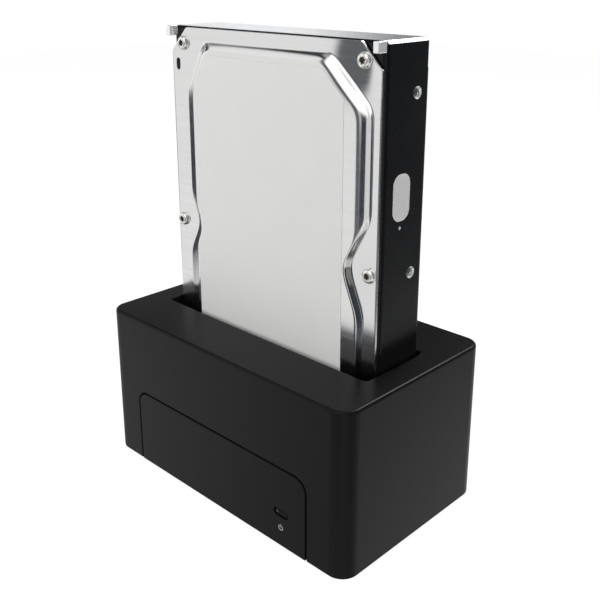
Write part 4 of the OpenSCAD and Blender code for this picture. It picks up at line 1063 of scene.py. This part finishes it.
def sheet_face(bm, edge, shift):
    """One face of the pressed sheet, drawn in by edge and lying shift behind the front. Gives its outer and
    vent rings."""
    feet = [plateau(0, -slope_band), plateau(0, 0)]
    tops = [plateau(1, 0), plateau(1, slope_band)]
    loops = (cover_outline(edge + slope_band), feet[0], vent_outline(edge + slope_band))
    flat = [Vector(p) for loop in loops for p in loop]
    verts = [bm.verts.new((p.x, flange_y + shift, p.y)) for p in flat]
    bounds = []
    rows = []
    for loop in loops:
        first = sum(len(r) for r in rows)
        rows.append(verts[first:first + len(loop)])
        bounds += [(first + i, first + (i + 1) % len(loop)) for i in range(len(loop))]
    spots, _, faces, source, _, _ = delaunay_2d_cdt(flat, bounds, [], 0, 1e-9)
    for face in faces:
        middle = sum((spots[i] for i in face), Vector((0, 0)))/len(face)
        if inside(middle, loops[0]) and not inside(middle, feet[0]) and not inside(middle, loops[2]):
            bm.faces.new([verts[source[i][0]] for i in face])
    last = rows[1]
    slopes = [(feet[1], 0, 0)]
    for j, heights in enumerate(zip(slope_heights(True), slope_heights(False))):
        ring = [tuple(Vector(a).lerp(Vector(b), (j + 1)/slope_steps)) for a, b in zip(feet[1], tops[0])]
        slopes.append((ring,) + heights)
    slopes.append((tops[1], plateau_h, plateau_h))
    for ring, crowned, straight in slopes:
        row = []
        for x, z in ring:
            height = crowned + (straight - crowned)*min(max(-x/left_blend, 0), 1)
            row.append(bm.verts.new((x, flange_y + shift - height, z)))
        strip(bm, last, row)
        last = row
    bm.faces.new(last)
    ends = []
    for near, outline in ((rows[0], cover_outline), (rows[2], vent_outline)):
        ends.append([bm.verts.new((x, flange_y + shift, z)) for x, z in outline(edge)])
        strip(bm, near, ends[-1])
    return ends


cover = bmesh.new()
front_edges = sheet_face(cover, cover_edge, 0)
back_edges = sheet_face(cover, 0, sheet_t)
for last, stop, outline in zip(front_edges, back_edges, (cover_outline, vent_outline)):
    for out, rise in quarter(cover_edge, 3)[1:]:
        row = [cover.verts.new((x, flange_y + out, z)) for x, z in outline(cover_edge - rise)]
        strip(cover, last, row)
        last = row
    strip(cover, last, stop)

# The sheet waves a little, and each screw draws it into a shallow dip, the upper right one most
wave_scale = 16.0
wave_depth = 0.1
dip_reach = 12*mm
dip_out = 4.5*mm
corner_dip = 2.1
middle_dip = 0.3
corner_zone = foot_top - 5*mm
cover_steel = metal("cover_steel", (0.75, 0.742, 0.73, 1), 0.15, (14, 900, 900), 0.1, Anisotropic=0.75,
                    Anisotropic_Rotation=0.25)
tree = cover_steel.node_tree
do = partial(calc, tree)
spot = put(tree, "ShaderNodeTexCoord").outputs["Object"]
level = do("MULTIPLY", noise(tree, spot, wave_scale, 0.0), wave_depth)
for screw in middles("cover_screws", 1, 1):
    low_spot = (screw.x + dip_out, flange_y, screw.z)
    far = vector(tree, "DISTANCE", spot, low_spot).outputs["Value"]
    dip = do("EXPONENT", do("MULTIPLY", do("POWER", do("DIVIDE", far, dip_reach), 2.0), -1.0))
    deep = corner_dip if screw.z > corner_zone and screw.x > 0 else middle_dip
    level = do("MULTIPLY_ADD", dip, -deep, level)
bumpy(tree, tree.nodes["Principled BSDF"], level, 1*mm)
piece("drive_cover", cover, cover_steel, "drive", "cover_steel", "drive_cover", sharp=40)
dress(moulded("gasket_rubber", (0.01, 0.01, 0.01, 1), 0.7, 3000.0), "cover_gasket")

# Cover screws
# Six bright steel screws with low pan heads, which clamp the cover on its gasket. They are driven by hand,
# so no two stand alike, and their star recesses are coloured darker as painted shade.
cover_head = 1.5*mm
cover_shank = 1/2.6
drive_lobes = 0.14
# Darker colour of the star recesses: painted shade
recess_painted_shade = (0.34, 0.3, 0.27, 1)
head_steel = metal("head_steel", (0.86, 0.85, 0.81, 1), 0.26, (1500, 1500, 1500), 0.15, Metallic=0.8)
tree = head_steel.node_tree
tone = tree.nodes["Principled BSDF"].inputs["Base Color"]
recess = put(tree, "ShaderNodeAttribute", attribute_name="recess").outputs["Fac"]
# The recesses are mixed towards the darker colour as painted shade
tree.links.new(mixed(tree, recess, tone.links[0].from_socket, recess_painted_shade), tone)
screw_set("cover_screws", cover_head, cover_shank, (0, -1, 0), drive_lobes, 21, head_steel, "drive",
          "cover_steel")

# Label and seal
# A blank self-adhesive label of satin film lies on the plateau, cut to its outline. A foil seal covers the
# servo opening in the casting's right side.
label_film = moulded("label_film", (0.68, 0.68, 0.67, 1), 0.42, 2500.0, 0.003, 0.03, Specular_IOR_Level=0.35)
dress(label_film, "drive_label")
seal_low, seal_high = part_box("side_seal")
seal_trim = (1.3*mm, 0.6*mm, 0, 0.2*mm)
seal_r = 3.7*mm
seal_edge = 0.06*mm
seal_outline = boxed(seal_low.y + seal_trim[0], seal_low.z + seal_trim[1], seal_high.y - seal_trim[2],
                     seal_high.z - seal_trim[3], seal_r)
# Growth and depth of the seal's steps as shares of its edge, with the groove pressed round it
seal_steps = [(0, 0.4), (-1, 0), (-9, 0), (-12, 1.3), (-15, 0), (-18, 0)]
seal = drawn_block("x", seal_outline, [(0, seal_low.x)] + [
    (grow*seal_edge, seal_high.x - deep*seal_edge) for grow, deep in seal_steps])
seal_foil = moulded("seal_foil", (0.58, 0.58, 0.575, 1), 0.3, 1500.0, 0.006, 0.05, Metallic=0.15)
piece("side_seal", seal, seal_foil, "drive", "seal_foil", "side_seal")

# Drive board and plug
# The drive's own circuit board lies in the recess at the back, held by four small screws, with its solder
# pads outwards. A moulded plug with gold blades sits at its lower edge and meets the dock's connector.
dress(laminate("drive_laminate", (0.008, 0.05, 0.026, 1)), "drive_board")
dress(connector_plastic, "drive_plug")
dress(contact_gold, "plug_contacts")
pad_r = 0.55*mm
pad_up = 0.22*mm
pad_step = 2.2*mm
pad_outline = [(0, 1, 0), (0.45, 0.92, 0), (0.8, 0.6, 0), (1, 0, 0), (0, 0, 0)]
# Rows of pads: first place across and up in millimetres, and count; some places in them are left free
pad_rows = ((-20, 12, 19), (-20, 14.5, 19), (-34, 30, 8), (-34, 33, 8), (18, 34, 7), (18, 37, 7),
            (18, 40, 7), (-12, 50, 4), (24, 58, 5))
pad_tin = metal("pad_tin", (0.7, 0.7, 0.68, 1), 0.24, (1800, 1800, 1800), 0.15)
pads = []
for row, (x0, up_z, count) in enumerate(pad_rows):
    for i in range(count):
        if (i*7 + row*3) % 11 != 4:
            pads.append((x0*mm + i*pad_step, pcb_high.y, drive_low.z + up_z*mm))
turn_on("drive_solder_pads", pad_outline, pads,
        {"Radius": pad_r, "Height": pad_up, "Axis": (0, 1, 0), "Seed": 41}, pad_tin, "drive", "screw_steel")
pcb_head = 0.7*mm
pcb_shank = 0.8/1.8
screw_set("drive_board_screws", pcb_head, pcb_shank, (0, 1, 0), drive_lobes, 31, screw_steel, "drive",
          "screw_steel")
